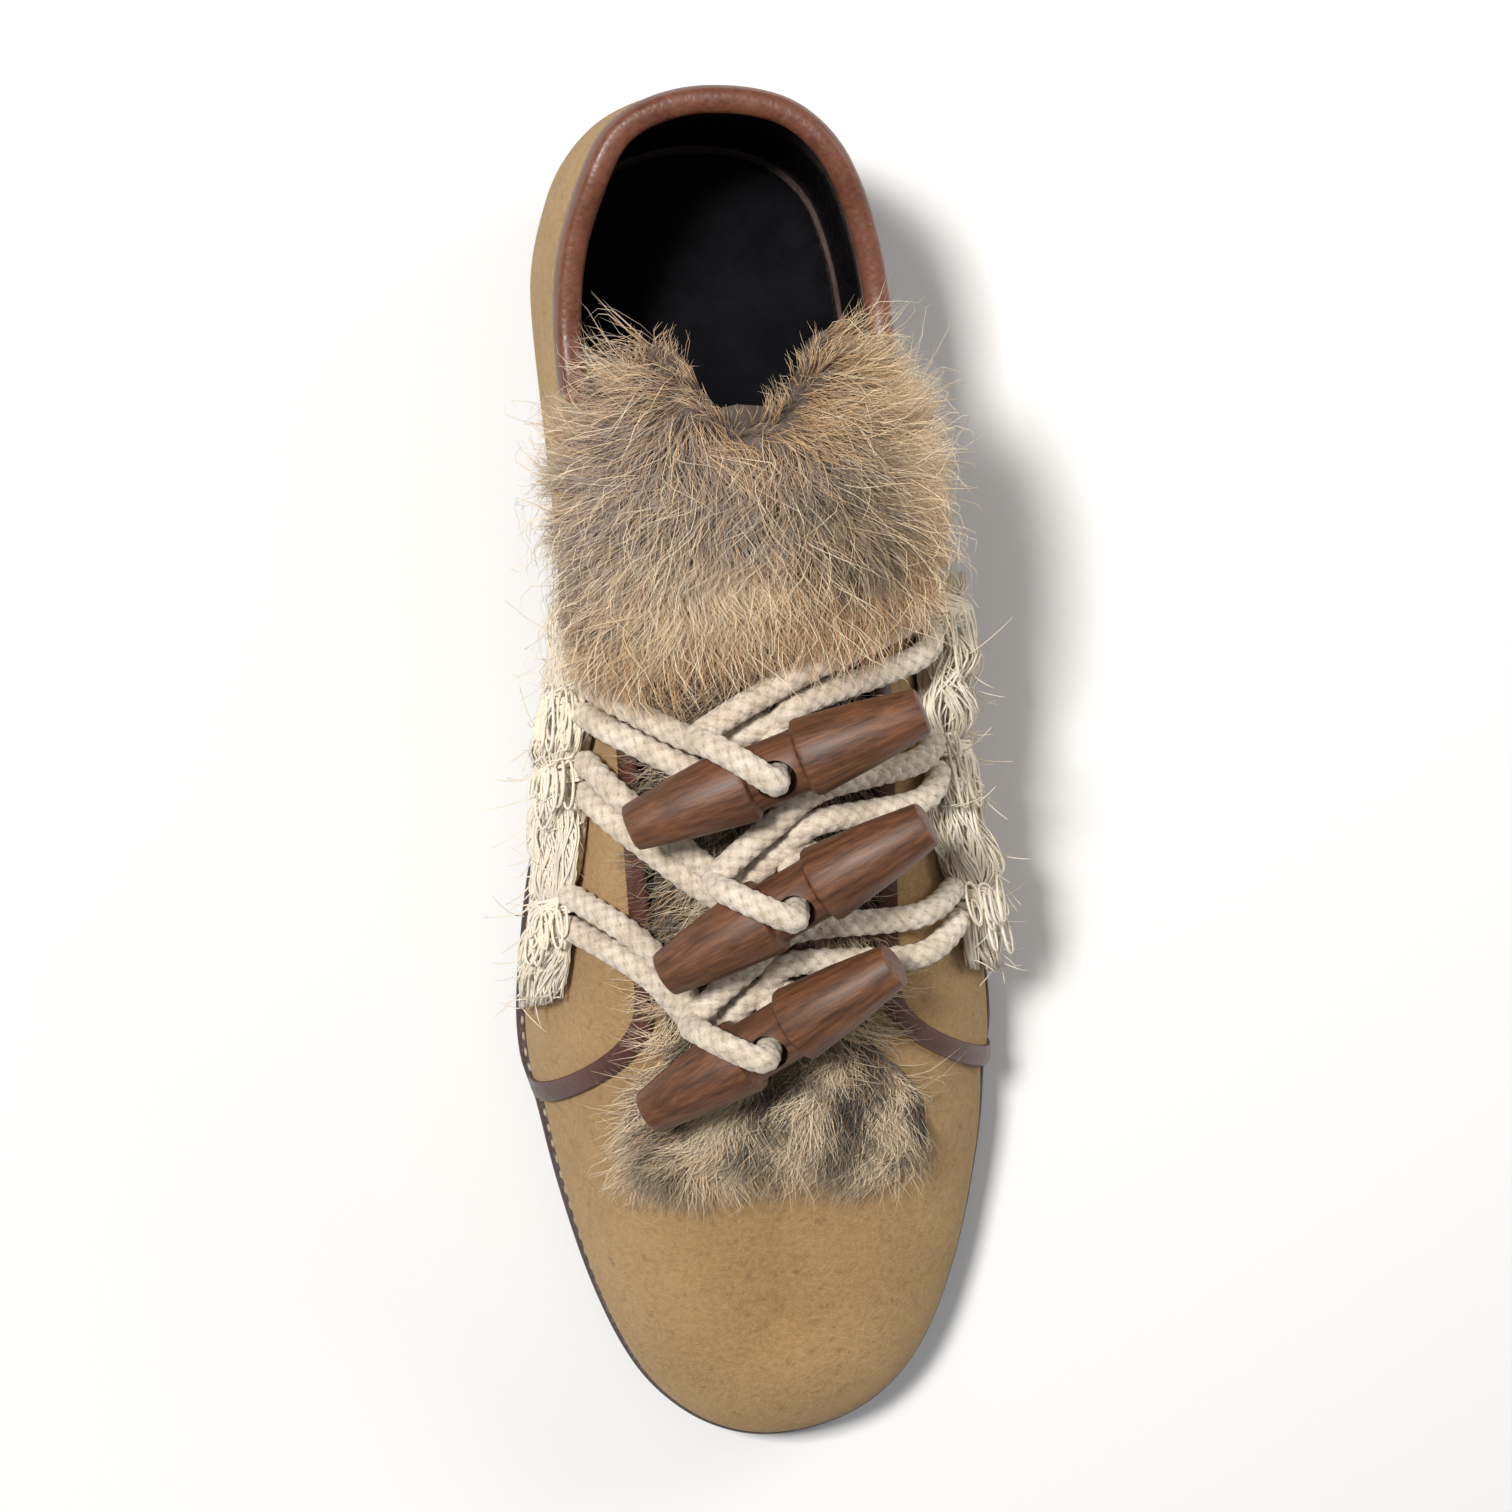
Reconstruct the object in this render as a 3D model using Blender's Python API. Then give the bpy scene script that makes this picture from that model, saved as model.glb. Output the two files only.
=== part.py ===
"""Left felt derby shoe with a fur tongue, wooden toggles and cotton cords.

Metres, +Z up, toe towards -Y, outer side towards +X. The origin is on the floor
under the middle of the heel. Every piece is worked out from one closed form, the
shape that the felt upper takes over its last.
"""
import math

import bpy
import bmesh
from mathutils import Matrix, Vector
from mathutils.bvhtree import BVHTree

# Driving sizes of the form
LENGTH = 0.286            # base line of the upper, heel to toe
HEEL_END = 0.0365         # from the origin back to the heel end of the base line
BALL_WIDTH = 0.098        # base line across the ball
INSTEP_HEIGHT = 0.104     # crest of the form over the floor at the top of the throat
COLLAR_HEIGHT = 0.087     # top line over the floor at the heel
CREST_OFFSET = 0.002      # the crest lies a little to the outer side

# Sole, heel and welt
HEEL_LIFT = 0.019
TOE_SPRING = 0.008
SOLE_THICKNESS = 0.0055
SOLE_SWELL = 0.0004
WELT_THICKNESS = 0.0028
WELT_LEDGE = 0.0030
HEEL_LEDGE = 0.0016
WELT_LEAN = 0.0010
HEEL_TUCK = 0.0008
HEEL_TAPER = 0.0015
HEEL_CHAMFER = 0.0008
BREAST_HOLLOW = 0.004
INSOLE_THICKNESS = 0.0030
INSOLE_GAP = 0.0011

# Felt, leather edges and clearance
WALL = 0.0028
QUARTER_STEP = 0.0012
BINDING = 0.0009
BINDING_LEG = 0.0034
EDGE_WIDTH = 0.0034
EDGE_PROUD = 0.0008
TONGUE_THICKNESS = 0.0022
TONGUE_LAP = 0.007
TONGUE_DROP = 0.0018
FIT = 0.0003
SEAT_GAP = 0.00045

# Throat, half widths from the crest line
THROAT_LATERAL = 0.0260
THROAT_MEDIAL = 0.0262

# Fur, cords, toggles and yarn
FUR_DEPTH = 0.0120
FUR_REACH_IN = 0.0095
APRON_DEPTH = 0.0062
APRON_HIDE = 0.0008
APRON_BOW_SHARE = 0.034
CUFF_NOTCH_SHARE = 0.255
CUFF_LOBE_SHARE = 0.050
CUFF_HEM_SHARE = 0.398
CUFF_LOW_SHARE = 0.800
CORD_RADIUS = 0.0027
CORD_LIFT = 0.0056
CORD_SIDES = 7
TOGGLE_LENGTH = 0.062
TOGGLE_RADIUS = 0.0080
TOGGLE_WAIST = 0.0064
TOGGLE_WAIST_WIDTH = 0.0115
TOGGLE_END = 0.0048
TOGGLE_EDGE = 0.0009
TOGGLE_BORE = 0.0040
TOGGLE_SOCKET = 0.0022
TOGGLE_SOCKET_DEPTH = 0.0040
FRINGE_DEPTH = 0.0095

# Shares along the base line, heel 0 and toe 1
HEEL_BREAST_SHARE = 0.265
QUARTER_FRONT_SHARE = 0.713
THROAT_TOP_SHARE = 0.325

# Grid of the upper
VAMP_COLUMNS = 11
THROAT_COLUMNS = 9
COLLAR_COLUMNS = 10
SIDE_ROWS = 8
CROWN_ROWS = 3
LAP_COLUMNS = 2

# foot: share along the base line; medial, lateral: half widths as shares of BALL_WIDTH;
# crest: share along at the crest; height: share of INSTEP_HEIGHT; square_*: roundness of
# the wall; belly: swelling over the base as a share of BALL_WIDTH
SECTIONS = [
    dict(foot=0.000, medial=0.000, lateral=0.000, crest=0.110, height=0.990, square_medial=3.3,
         square_lateral=3.3, belly=0.022),
    dict(foot=0.020, medial=0.205, lateral=0.212, crest=0.120, height=0.990, square_medial=3.1,
         square_lateral=3.6, belly=0.026),
    dict(foot=0.060, medial=0.288, lateral=0.303, crest=0.145, height=0.985, square_medial=2.8,
         square_lateral=3.7, belly=0.030),
    dict(foot=0.130, medial=0.330, lateral=0.345, crest=0.185, height=0.985, square_medial=2.6,
         square_lateral=3.7, belly=0.034),
    dict(foot=0.250, medial=0.316, lateral=0.362, crest=0.235, height=0.995, square_medial=2.7,
         square_lateral=3.4, belly=0.034),
    dict(foot=0.340, medial=0.312, lateral=0.382, crest=0.290, height=1.000, square_medial=2.8,
         square_lateral=2.9, belly=0.030),
    dict(foot=0.430, medial=0.342, lateral=0.410, crest=0.365, height=0.960, square_medial=2.5,
         square_lateral=2.5, belly=0.024),
    dict(foot=0.520, medial=0.400, lateral=0.462, crest=0.455, height=0.880, square_medial=2.25,
         square_lateral=2.25, belly=0.018),
    dict(foot=0.600, medial=0.450, lateral=0.506, crest=0.535, height=0.790, square_medial=2.15,
         square_lateral=2.15, belly=0.016),
    dict(foot=0.680, medial=0.478, lateral=0.530, crest=0.610, height=0.680, square_medial=2.1,
         square_lateral=2.15, belly=0.018),
    dict(foot=0.760, medial=0.447, lateral=0.510, crest=0.700, height=0.565, square_medial=2.15,
         square_lateral=2.2, belly=0.021),
    dict(foot=0.830, medial=0.405, lateral=0.466, crest=0.780, height=0.480, square_medial=2.2,
         square_lateral=2.25, belly=0.023),
    dict(foot=0.890, medial=0.354, lateral=0.408, crest=0.835, height=0.432, square_medial=2.25,
         square_lateral=2.3, belly=0.024),
    dict(foot=0.945, medial=0.279, lateral=0.324, crest=0.870, height=0.400, square_medial=2.3,
         square_lateral=2.35, belly=0.024),
    dict(foot=0.980, medial=0.180, lateral=0.218, crest=0.892, height=0.382, square_medial=2.35,
         square_lateral=2.35, belly=0.023),
    dict(foot=1.000, medial=0.000, lateral=0.000, crest=0.900, height=0.376, square_medial=2.35,
         square_lateral=2.35, belly=0.022),
]

# foot: share along the base line; height: share of COLLAR_HEIGHT
TOP_LINE = [
    dict(foot=0.000, height=1.000),
    dict(foot=0.040, height=0.985),
    dict(foot=0.100, height=0.915),
    dict(foot=0.180, height=0.855),
    dict(foot=0.245, height=0.890),
    dict(foot=0.290, height=0.965),
    dict(foot=0.325, height=1.055),
]

# along: share along the sole; drop: share of HEEL_LIFT that is left under the sole
ARCH = [
    dict(along=0.000, drop=1.00),
    dict(along=0.285, drop=1.00),
    dict(along=0.350, drop=0.86),
    dict(along=0.450, drop=0.46),
    dict(along=0.540, drop=0.10),
    dict(along=0.600, drop=0.00),
]
SPRING_START_SHARE = 0.74
SPRING_POWER = 1.8

# Rows of toggles. x: hole from the crest line as a share of BALL_WIDTH; along: hole as a
# share along; lean: toggle turned in plan, degrees; *_foot, *_height: where the cords
# leave the yarn, share along the base line and share of INSTEP_HEIGHT
TOGGLE_ROWS = [
    dict(x=0.030, along=0.4680, lean=21.5, lateral_foot=0.378, lateral_height=0.735,
         medial_foot=0.425, medial_height=0.735),
    dict(x=0.055, along=0.5540, lean=33.0, lateral_foot=0.484, lateral_height=0.685,
         medial_foot=0.482, medial_height=0.690),
    dict(x=0.010, along=0.6560, lean=35.0, lateral_foot=0.596, lateral_height=0.565,
         medial_foot=0.578, medial_height=0.560),
]
STRAND_STEP_SHARE = 0.0225      # share along between the two strands where they leave the yarn
STRAND_FALL_SHARE = 0.028       # share of INSTEP_HEIGHT between them

# Places that a cord passes round its toggle, as shares of the toggle's and the cord's radii
# together: along the toggle, towards the heel and up from its middle
OUTER_WRAP = [
    (1.402, 1.223, -1.008), (0.280, 1.179, -0.740), (-0.654, 1.112, -0.463),
    (-1.075, 1.090, -0.093), (-0.794, 1.023, 0.467), (-0.374, 0.690, 0.916),
    (-0.028, 0.187, 0.981), (0.0, 0.019, 0.561), (0.0, 0.0, -0.187), (0.0, 0.056, -0.748),
    (0.234, 0.421, -1.028), (0.935, 0.654, -1.028),
]
INNER_WRAP = [
    (-1.028, 0.579, -0.951), (0.093, 0.523, -1.028), (0.579, 0.0, -1.028),
    (0.093, -0.467, -1.028), (-1.215, -0.019, -0.941),
]
SHOULDER = dict(outer=0.285, inner=-0.235)   # x of the cords beside the toggle, as above

# Over the throat the apron is a strip, in front of it the fur spreads. crest: share along
# at the crest; medial, lateral: reach from the crest line as shares of BALL_WIDTH;
# top: height over the form as a share of APRON_DEPTH
APRON = [
    dict(crest=0.400, medial=0.215, lateral=0.215, top=0.16),
    dict(crest=0.640, medial=0.215, lateral=0.215, top=0.18),
    dict(crest=0.672, medial=0.220, lateral=0.220, top=0.20),
    dict(crest=0.700, medial=0.300, lateral=0.300, top=0.28),
    dict(crest=0.725, medial=0.310, lateral=0.325, top=0.95),
    dict(crest=0.755, medial=0.300, lateral=0.330, top=1.00),
    dict(crest=0.788, medial=0.250, lateral=0.300, top=0.60),
]

# foot: share along; top, low: heights over the floor as shares of INSTEP_HEIGHT;
# depth: share of FRINGE_DEPTH
FRINGE_LATERAL = [
    dict(foot=0.400, top=0.660, low=0.430, depth=1.00),
    dict(foot=0.440, top=0.650, low=0.380, depth=1.15),
    dict(foot=0.490, top=0.615, low=0.380, depth=0.70),
    dict(foot=0.540, top=0.585, low=0.330, depth=0.80),
    dict(foot=0.600, top=0.505, low=0.300, depth=0.85),
    dict(foot=0.660, top=0.380, low=0.270, depth=0.45),
]
FRINGE_MEDIAL = [
    dict(foot=0.400, top=0.660, low=0.480, depth=0.45),
    dict(foot=0.440, top=0.660, low=0.420, depth=0.75),
    dict(foot=0.480, top=0.630, low=0.400, depth=0.80),
    dict(foot=0.530, top=0.580, low=0.370, depth=0.60),
    dict(foot=0.600, top=0.490, low=0.330, depth=0.55),
    dict(foot=0.660, top=0.400, low=0.270, depth=0.45),
]


def ease(rows, key, column, value, level_ends=False):
    """Reads a column between its rows along a smooth curve that doesn't overshoot."""
    xs = [row[key] for row in rows]
    ys = [row[column] for row in rows]
    if value <= xs[0]:
        return ys[0]
    if value >= xs[-1]:
        return ys[-1]
    count = len(xs)
    slopes = [(ys[i + 1] - ys[i]) / (xs[i + 1] - xs[i]) for i in range(count - 1)]
    at = next(i for i in range(count - 1) if value <= xs[i + 1])
    tangents = []
    for i in (at, at + 1):
        if i == 0 or i == count - 1:
            tangents.append(0.0 if level_ends else slopes[min(i, count - 2)])
        elif slopes[i - 1] * slopes[i] <= 0:
            tangents.append(0.0)
        else:
            tangents.append(2 * slopes[i - 1] * slopes[i] / (slopes[i - 1] + slopes[i]))
    step = xs[at + 1] - xs[at]
    t = (value - xs[at]) / step
    return ((2 * t**3 - 3 * t**2 + 1) * ys[at] + (t**3 - 2 * t**2 + t) * step * tangents[0]
            + (3 * t**2 - 2 * t**3) * ys[at + 1] + (t**3 - t**2) * step * tangents[1])


def station(share):
    """Even steps of a station crowd the columns at both round ends."""
    return math.acos(1 - 2 * min(max(share, 0.0), 1.0)) / math.pi


def foot_share(at):
    return (1 - math.cos(math.pi * at)) / 2


for row in SECTIONS:
    row["at"] = station(row["foot"])


def section(at):
    """One section of the form, read from the table at a station; both ends are round."""
    cut = {name: ease(SECTIONS, "at", name, at, name not in ("medial", "lateral"))
           for name in SECTIONS[0] if name != "at"}
    cut["foot"] = foot_share(min(max(at, 0.0), 1.0))
    return cut


def along_to_y(share):
    return HEEL_END - share * LENGTH


def y_to_along(y):
    return (HEEL_END - y) / LENGTH


def tread(share):
    """Underside of the sole over the floor."""
    if share <= ARCH[-1]["along"]:
        return HEEL_LIFT * ease(ARCH, "along", "drop", share)
    if share <= SPRING_START_SHARE:
        return 0.0
    return TOE_SPRING * ((share - SPRING_START_SHARE) / (1 - SPRING_START_SHARE)) ** SPRING_POWER


def sole_top(share):
    return tread(share) + SOLE_THICKNESS


def base_height(share):
    """The upper, welt and insole stand just over the sole."""
    return sole_top(share) + SEAT_GAP


def base_line(side, at):
    """Plan point of the upper's base line, side +1 outer and -1 inner."""
    cut = section(at)
    half = BALL_WIDTH * (cut["lateral"] if side > 0 else cut["medial"])
    return Vector((side * half, along_to_y(cut["foot"]), 0.0))


def base_normal(side, at):
    """Plan direction that leaves the base line outwards."""
    if at <= 0.0:
        return Vector((0.0, 1.0, 0.0))
    if at >= 1.0:
        return Vector((0.0, -1.0, 0.0))
    nudge = 0.004
    run = base_line(side, min(at + nudge, 1.0)) - base_line(side, max(at - nudge, 0.0))
    return (Vector((-run.y, run.x, 0.0)) * side).normalized()


def form(side, at, v):
    """Closed form of the upper: v is 0 at the base line and 1 at the crest."""
    cut = section(at)
    square = cut["square_lateral"] if side > 0 else cut["square_medial"]
    turn = v * math.pi / 2
    inward = 1 - max(math.cos(turn), 0.0) ** (2 / square)
    rise = math.sin(turn) ** (2 / square)
    foot = base_line(side, at)
    crest = Vector((CREST_OFFSET, along_to_y(cut["crest"]), 0.0))
    reach = foot - crest
    swell = cut["belly"] * BALL_WIDTH * math.sin(math.pi * math.sqrt(rise))
    point = crest + reach * (1 - inward) + reach.normalized() * swell
    low = base_height(cut["foot"])
    point.z = low + (INSTEP_HEIGHT * cut["height"] - low) * rise
    return point


def v_where(side, at, passed):
    """Lowest v at which a test of the form's point holds."""
    low = 0.0
    high = 1.0
    for _ in range(22):
        middle = (low + high) / 2
        if passed(form(side, at, middle)):
            high = middle
        else:
            low = middle
    return high


def v_at_half(side, at, half):
    return v_where(side, at, lambda p: (p.x - CREST_OFFSET) * side <= half)


def v_at_height(side, at, height):
    return v_where(side, at, lambda p: p.z >= height)


def edge_v(side, at):
    """Where the felt ends: at the top line, else at the throat's side, carried on in front."""
    share = foot_share(at)
    if share < THROAT_TOP_SHARE - 1e-6:
        height = COLLAR_HEIGHT * ease(TOP_LINE, "foot", "height", share)
        return v_at_height(side, at, height)
    return v_at_half(side, min(at, FRONT_AT), THROAT_LATERAL if side > 0 else THROAT_MEDIAL)


def closed_form_tree():
    """The closed form as a fine surface to drop points onto."""
    columns = 90
    rows = 30
    points = []
    faces = []
    for side in (1, -1):
        start = len(points)
        for i in range(columns + 1):
            for j in range(rows + 1):
                points.append(form(side, 1 - i / columns, j / rows))
        for i in range(columns):
            for j in range(rows):
                a = start + i * (rows + 1) + j
                quad = [a, a + rows + 1, a + rows + 2, a + 1]
                faces.append(quad if side > 0 else quad[::-1])
    return BVHTree.FromPolygons(points, faces)


FORM_TREE = closed_form_tree()


def over_form(x_share, along, lift):
    """Point over the form, found straight above a place in the plan."""
    above = Vector((CREST_OFFSET + x_share * BALL_WIDTH, along_to_y(along), 1.0))
    hit, normal, _, _ = FORM_TREE.ray_cast(above, Vector((0.0, 0.0, -1.0)))
    return hit + normal * lift


def on_side(side, foot, height, lift):
    """Point over the form's side, at a share along its base line and a height."""
    at = station(foot)
    v = v_at_height(side, at, height * INSTEP_HEIGHT)
    point = form(side, at, v)
    along = form(side, at - 0.01, v) - form(side, at + 0.01, v)
    upward = form(side, at, v + 0.02) - form(side, at, v - 0.02)
    return point + along.cross(upward).normalized() * side * lift


def material(name, colour, roughness):
    made = bpy.data.materials.new(name)
    made.use_nodes = True
    shader = made.node_tree.nodes["Principled BSDF"]
    shader.inputs["Base Color"].default_value = (*colour, 1.0)
    shader.inputs["Roughness"].default_value = roughness
    shader.inputs["Metallic"].default_value = 0.0
    made.diffuse_color = (*colour, 1.0)
    return made


def add_object(name, points, faces, finish, sharp=35.0):
    mesh = bpy.data.meshes.new(name)
    mesh.from_pydata([tuple(p) for p in points], [], faces)
    mesh.validate()
    mesh.shade_smooth()
    mesh.set_sharp_from_angle(angle=math.radians(sharp))
    mesh.materials.append(finish)
    made = bpy.data.objects.new(name, mesh)
    bpy.context.scene.collection.objects.link(made)
    return made


def skin_normals(points, faces):
    """Smooth outward direction at each named point of a skin."""
    normals = {key: Vector() for key in points}
    for face in faces:
        corners = [points[key] for key in face]
        weight = Vector()
        for i in range(len(corners)):
            weight += corners[i].cross(corners[(i + 1) % len(corners)])
        for key in face:
            normals[key] += weight
    return {key: normal.normalized() for key, normal in normals.items()}


def shell_object(name, faces, outer, inner, finish, sharp=35.0):
    """Closed solid between two layers of one skin, with walls along its open edges."""
    keys = list(outer)
    number = {key: i for i, key in enumerate(keys)}
    points = [outer[key] for key in keys] + [inner[key] for key in keys]
    shift = len(keys)
    solid = [[number[key] for key in face] for face in faces]
    solid += [[number[key] + shift for key in reversed(face)] for face in faces]
    runs = {(face[i], face[(i + 1) % len(face)]) for face in faces for i in range(len(face))}
    for start, end in sorted(runs, key=lambda run: (number[run[0]], number[run[1]])):
        if (end, start) not in runs:
            a = number[start]
            b = number[end]
            solid.append([b, a, a + shift, b + shift])
    return add_object(name, points, solid, finish, sharp)


def ring_sweep(sections, closed):
    """Points and faces of a bar from its sections, which all have as many points."""
    size = len(sections[0])
    count = len(sections)
    points = [p for one in sections for p in one]
    faces = []
    for i in range(count if closed else count - 1):
        a = i * size
        b = (i + 1) % count * size
        for j in range(size):
            k = (j + 1) % size
            faces.append([a + j, a + k, b + k, b + j])
    if not closed:
        faces.append(list(reversed(range(size))))
        faces.append([(count - 1) * size + j for j in range(size)])
    return points, faces


# Columns of the upper's grid, from the toe to the heel
FRONT_AT = station(QUARTER_FRONT_SHARE)
TOP_AT = station(THROAT_TOP_SHARE)
STEP_RUN_SHARE = 0.0005
COLUMNS = [1 - (1 - FRONT_AT - STEP_RUN_SHARE) * i / VAMP_COLUMNS for i in range(VAMP_COLUMNS + 1)]
LAST_VAMP = VAMP_COLUMNS
COLUMNS += [FRONT_AT - (FRONT_AT - TOP_AT) * i / THROAT_COLUMNS for i in range(THROAT_COLUMNS + 1)]
FIRST_QUARTER = LAST_VAMP + 1
TOP_COLUMN = FIRST_QUARTER + THROAT_COLUMNS
COLUMNS += [TOP_AT * (1 - i / COLLAR_COLUMNS) for i in range(1, COLLAR_COLUMNS + 1)]
HEEL_COLUMN = len(COLUMNS) - 1


def wall_out(column):
    """The quarters lie a step further out than the vamp."""
    return QUARTER_STEP if column >= FIRST_QUARTER else 0.0


def upper_skin():
    """Named points of the upper's unstepped skin and its faces."""
    points = {}
    faces = []

    def name_of(side, i, j):
        on_axis = i in (0, HEEL_COLUMN) or j == SIDE_ROWS + CROWN_ROWS
        return (0 if on_axis else side, i, j)

    for side in (1, -1):
        for i, at in enumerate(COLUMNS):
            edge = edge_v(side, at)
            if i in (0, HEEL_COLUMN):
                edge = (edge_v(1, at) + edge_v(-1, at)) / 2
            for j in range(SIDE_ROWS + 1):
                points[name_of(side, i, j)] = form(side, at, edge * j / SIDE_ROWS)
            if i <= LAST_VAMP:
                for j in range(1, CROWN_ROWS + 1):
                    v = edge + (1 - edge) * j / CROWN_ROWS
                    points[name_of(side, i, SIDE_ROWS + j)] = form(side, at, v)
        for i in range(HEEL_COLUMN):
            rows = SIDE_ROWS + (CROWN_ROWS if i < LAST_VAMP else 0)
            for j in range(rows):
                face = [name_of(side, i, j), name_of(side, i + 1, j),
                        name_of(side, i + 1, j + 1), name_of(side, i, j + 1)]
                faces.append(face if side > 0 else face[::-1])
    return points, faces


UPPER_POINTS, UPPER_FACES = upper_skin()
UPPER_NORMALS = skin_normals(UPPER_POINTS, UPPER_FACES)
for upper_key in UPPER_NORMALS:
    if upper_key[2] == 0:
        UPPER_NORMALS[upper_key].z = 0.0
        UPPER_NORMALS[upper_key].normalize()


def upper_key_at(side, i, j):
    on_axis = i in (0, HEEL_COLUMN)
    return (0 if on_axis else side, i, j)


def make_upper(finish):
    outer = {}
    inner = {}
    for key, point in UPPER_POINTS.items():
        column = key[1]
        inset = WALL
        if column >= FIRST_QUARTER + LAP_COLUMNS:
            inset = WALL - QUARTER_STEP
        outer[key] = point + UPPER_NORMALS[key] * wall_out(column)
        inner[key] = point - UPPER_NORMALS[key] * inset
    return shell_object("upper", UPPER_FACES, outer, inner, finish)


def around(out_of):
    """Plan points right round the base line from the columns, outer side first."""
    ring = []
    for side, order in ((1, range(HEEL_COLUMN + 1)), (-1, range(HEEL_COLUMN - 1, 0, -1))):
        for i in order:
            ring.append(base_line(side, COLUMNS[i]) + base_normal(side, COLUMNS[i]) * out_of(i))
    return ring


def ledge(column):
    """Width of the sole's edge beyond the felt: narrow at the heel, full at the ball."""
    share = foot_share(COLUMNS[column])
    blend = min(max((share - 0.20) / 0.22, 0.0), 1.0)
    blend = blend * blend * (3 - 2 * blend)
    return HEEL_LEDGE + (WELT_LEDGE - HEEL_LEDGE) * blend


def sole_out(column):
    return QUARTER_STEP * (column >= LAST_VAMP - 1) + ledge(column)


def plate_object(name, out_of, low, high, finish, middle=0.0):
    """Solid plate within an outline, from a low to a high surface; middle swells its rim."""
    outline = around(out_of)
    count = len(outline)
    levels = [low, lambda share: (low(share) + high(share)) / 2, high] if middle else [low, high]
    points = []
    for level, height in enumerate(levels):
        swell = middle if 0 < level < len(levels) - 1 else 0.0
        for i, plan in enumerate(outline):
            run = outline[(i + 1) % count] - outline[i - 1]
            place = plan + Vector((-run.y, run.x, 0.0)).normalized() * -swell
            points.append(Vector((place.x, place.y, height(y_to_along(plan.y)))))
    faces = []
    for level in range(len(levels) - 1):
        for i in range(count):
            k = (i + 1) % count
            a = level * count
            b = a + count
            faces.append([a + i, a + k, b + k, b + i])
    top = (len(levels) - 1) * count
    half = HEEL_COLUMN
    for i in range(half):
        left = (count - i) % count
        next_left = (count - i - 1) % count
        cap = [i, left, next_left, i + 1] if i else [0, next_left, 1]
        if i + 1 == half:
            cap = [i, left, i + 1]
        faces.append(cap)
        faces.append([k + top for k in reversed(cap)])
    return add_object(name, points, faces, finish)


def make_outsole(finish):
    return plate_object("outsole", sole_out, tread, sole_top, finish, middle=SOLE_SWELL)


def make_insole(finish):
    def inside(column):
        return -(WALL + INSOLE_GAP)

    return plate_object("insole", inside, base_height,
                        lambda share: base_height(share) + INSOLE_THICKNESS, finish)


def make_welt(finish):
    """Closed strip round the upper's base, its inner face leaning with the felt."""
    low_in = around(lambda i: QUARTER_STEP * (i >= LAST_VAMP - 1) + FIT)
    high_in = around(lambda i: QUARTER_STEP * (i >= LAST_VAMP - 1) + FIT + WELT_LEAN)
    outer = around(sole_out)
    sections = []
    for near, far, edge in zip(low_in, high_in, outer):
        low_near = base_height(y_to_along(near.y))
        low_edge = base_height(y_to_along(edge.y))
        sections.append([
            Vector((near.x, near.y, low_near)),
            Vector((edge.x, edge.y, low_edge)),
            Vector((edge.x, edge.y, low_edge + WELT_THICKNESS)),
            Vector((far.x, far.y, base_height(y_to_along(far.y)) + WELT_THICKNESS)),
        ])
    points, faces = ring_sweep(sections, True)
    return add_object("welt", points, [face[::-1] for face in faces], finish)


def make_heel(finish):
    """Block under the heel seat with a hollowed breast and a tapered side."""
    breast_at = station(HEEL_BREAST_SHARE)
    stations = [breast_at] + [at for at in COLUMNS if at < breast_at - 0.01]
    breast_points = 3
    top = HEEL_LIFT - FIT
    levels = [(0.0, HEEL_TAPER + HEEL_CHAMFER), (HEEL_CHAMFER, HEEL_TAPER), (top, 0.0)]
    rings = []
    for height, inset in levels:
        ring = []
        for side, order in ((1, stations), (-1, stations[-2::-1])):
            for at in order:
                out = QUARTER_STEP + HEEL_LEDGE - HEEL_TUCK - inset
                place = base_line(side, at) + base_normal(side, at) * out
                if at == breast_at:
                    place.y += inset
                ring.append(Vector((place.x, place.y, height)))
        start = ring[-1]
        end = ring[0]
        for i in range(1, breast_points + 1):
            t = i / (breast_points + 1)
            place = start.lerp(end, t)
            place.y += BREAST_HOLLOW * 4 * t * (1 - t)
            ring.append(place)
        rings.append(ring)
    points, faces = ring_sweep(rings, False)
    return add_object("heel", points, faces, finish)


def edge_frames(side, columns):
    """Felt edge at each column: its outer corner, direction up the wall and outwards."""
    frames = []
    for i in columns:
        key = upper_key_at(side, i, SIDE_ROWS)
        below = upper_key_at(side, i, SIDE_ROWS - 1)
        normal = UPPER_NORMALS[key]
        corner = UPPER_POINTS[key] + normal * wall_out(i)
        up = UPPER_POINTS[key] - UPPER_POINTS[below]
        up = (up - normal * up.dot(normal)).normalized()
        frames.append((corner, up, normal))
    return frames


def make_collar_binding(finish):
    """Leather folded over the felt's top edge, from one throat corner to the other."""
    frames = edge_frames(1, range(TOP_COLUMN, HEEL_COLUMN + 1))
    frames += edge_frames(-1, range(HEEL_COLUMN - 1, TOP_COLUMN - 1, -1))
    out = FIT + BINDING
    far = -(WALL + FIT)
    profile = [
        (2 * FIT, -BINDING_LEG), (FIT + out, -BINDING_LEG), (out, BINDING * 0.4), (FIT, out),
        (far, out), (far - BINDING, BINDING * 0.4), (far - BINDING - FIT, -BINDING_LEG),
        (far - FIT, -BINDING_LEG), (far, FIT), (FIT, FIT),
    ]
    sections = [[corner + normal * n + up * u for n, u in profile] for corner, up, normal in frames]
    points, faces = ring_sweep(sections, False)
    return add_object("collar_binding", points, [face[::-1] for face in faces], finish, 50.0)


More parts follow.
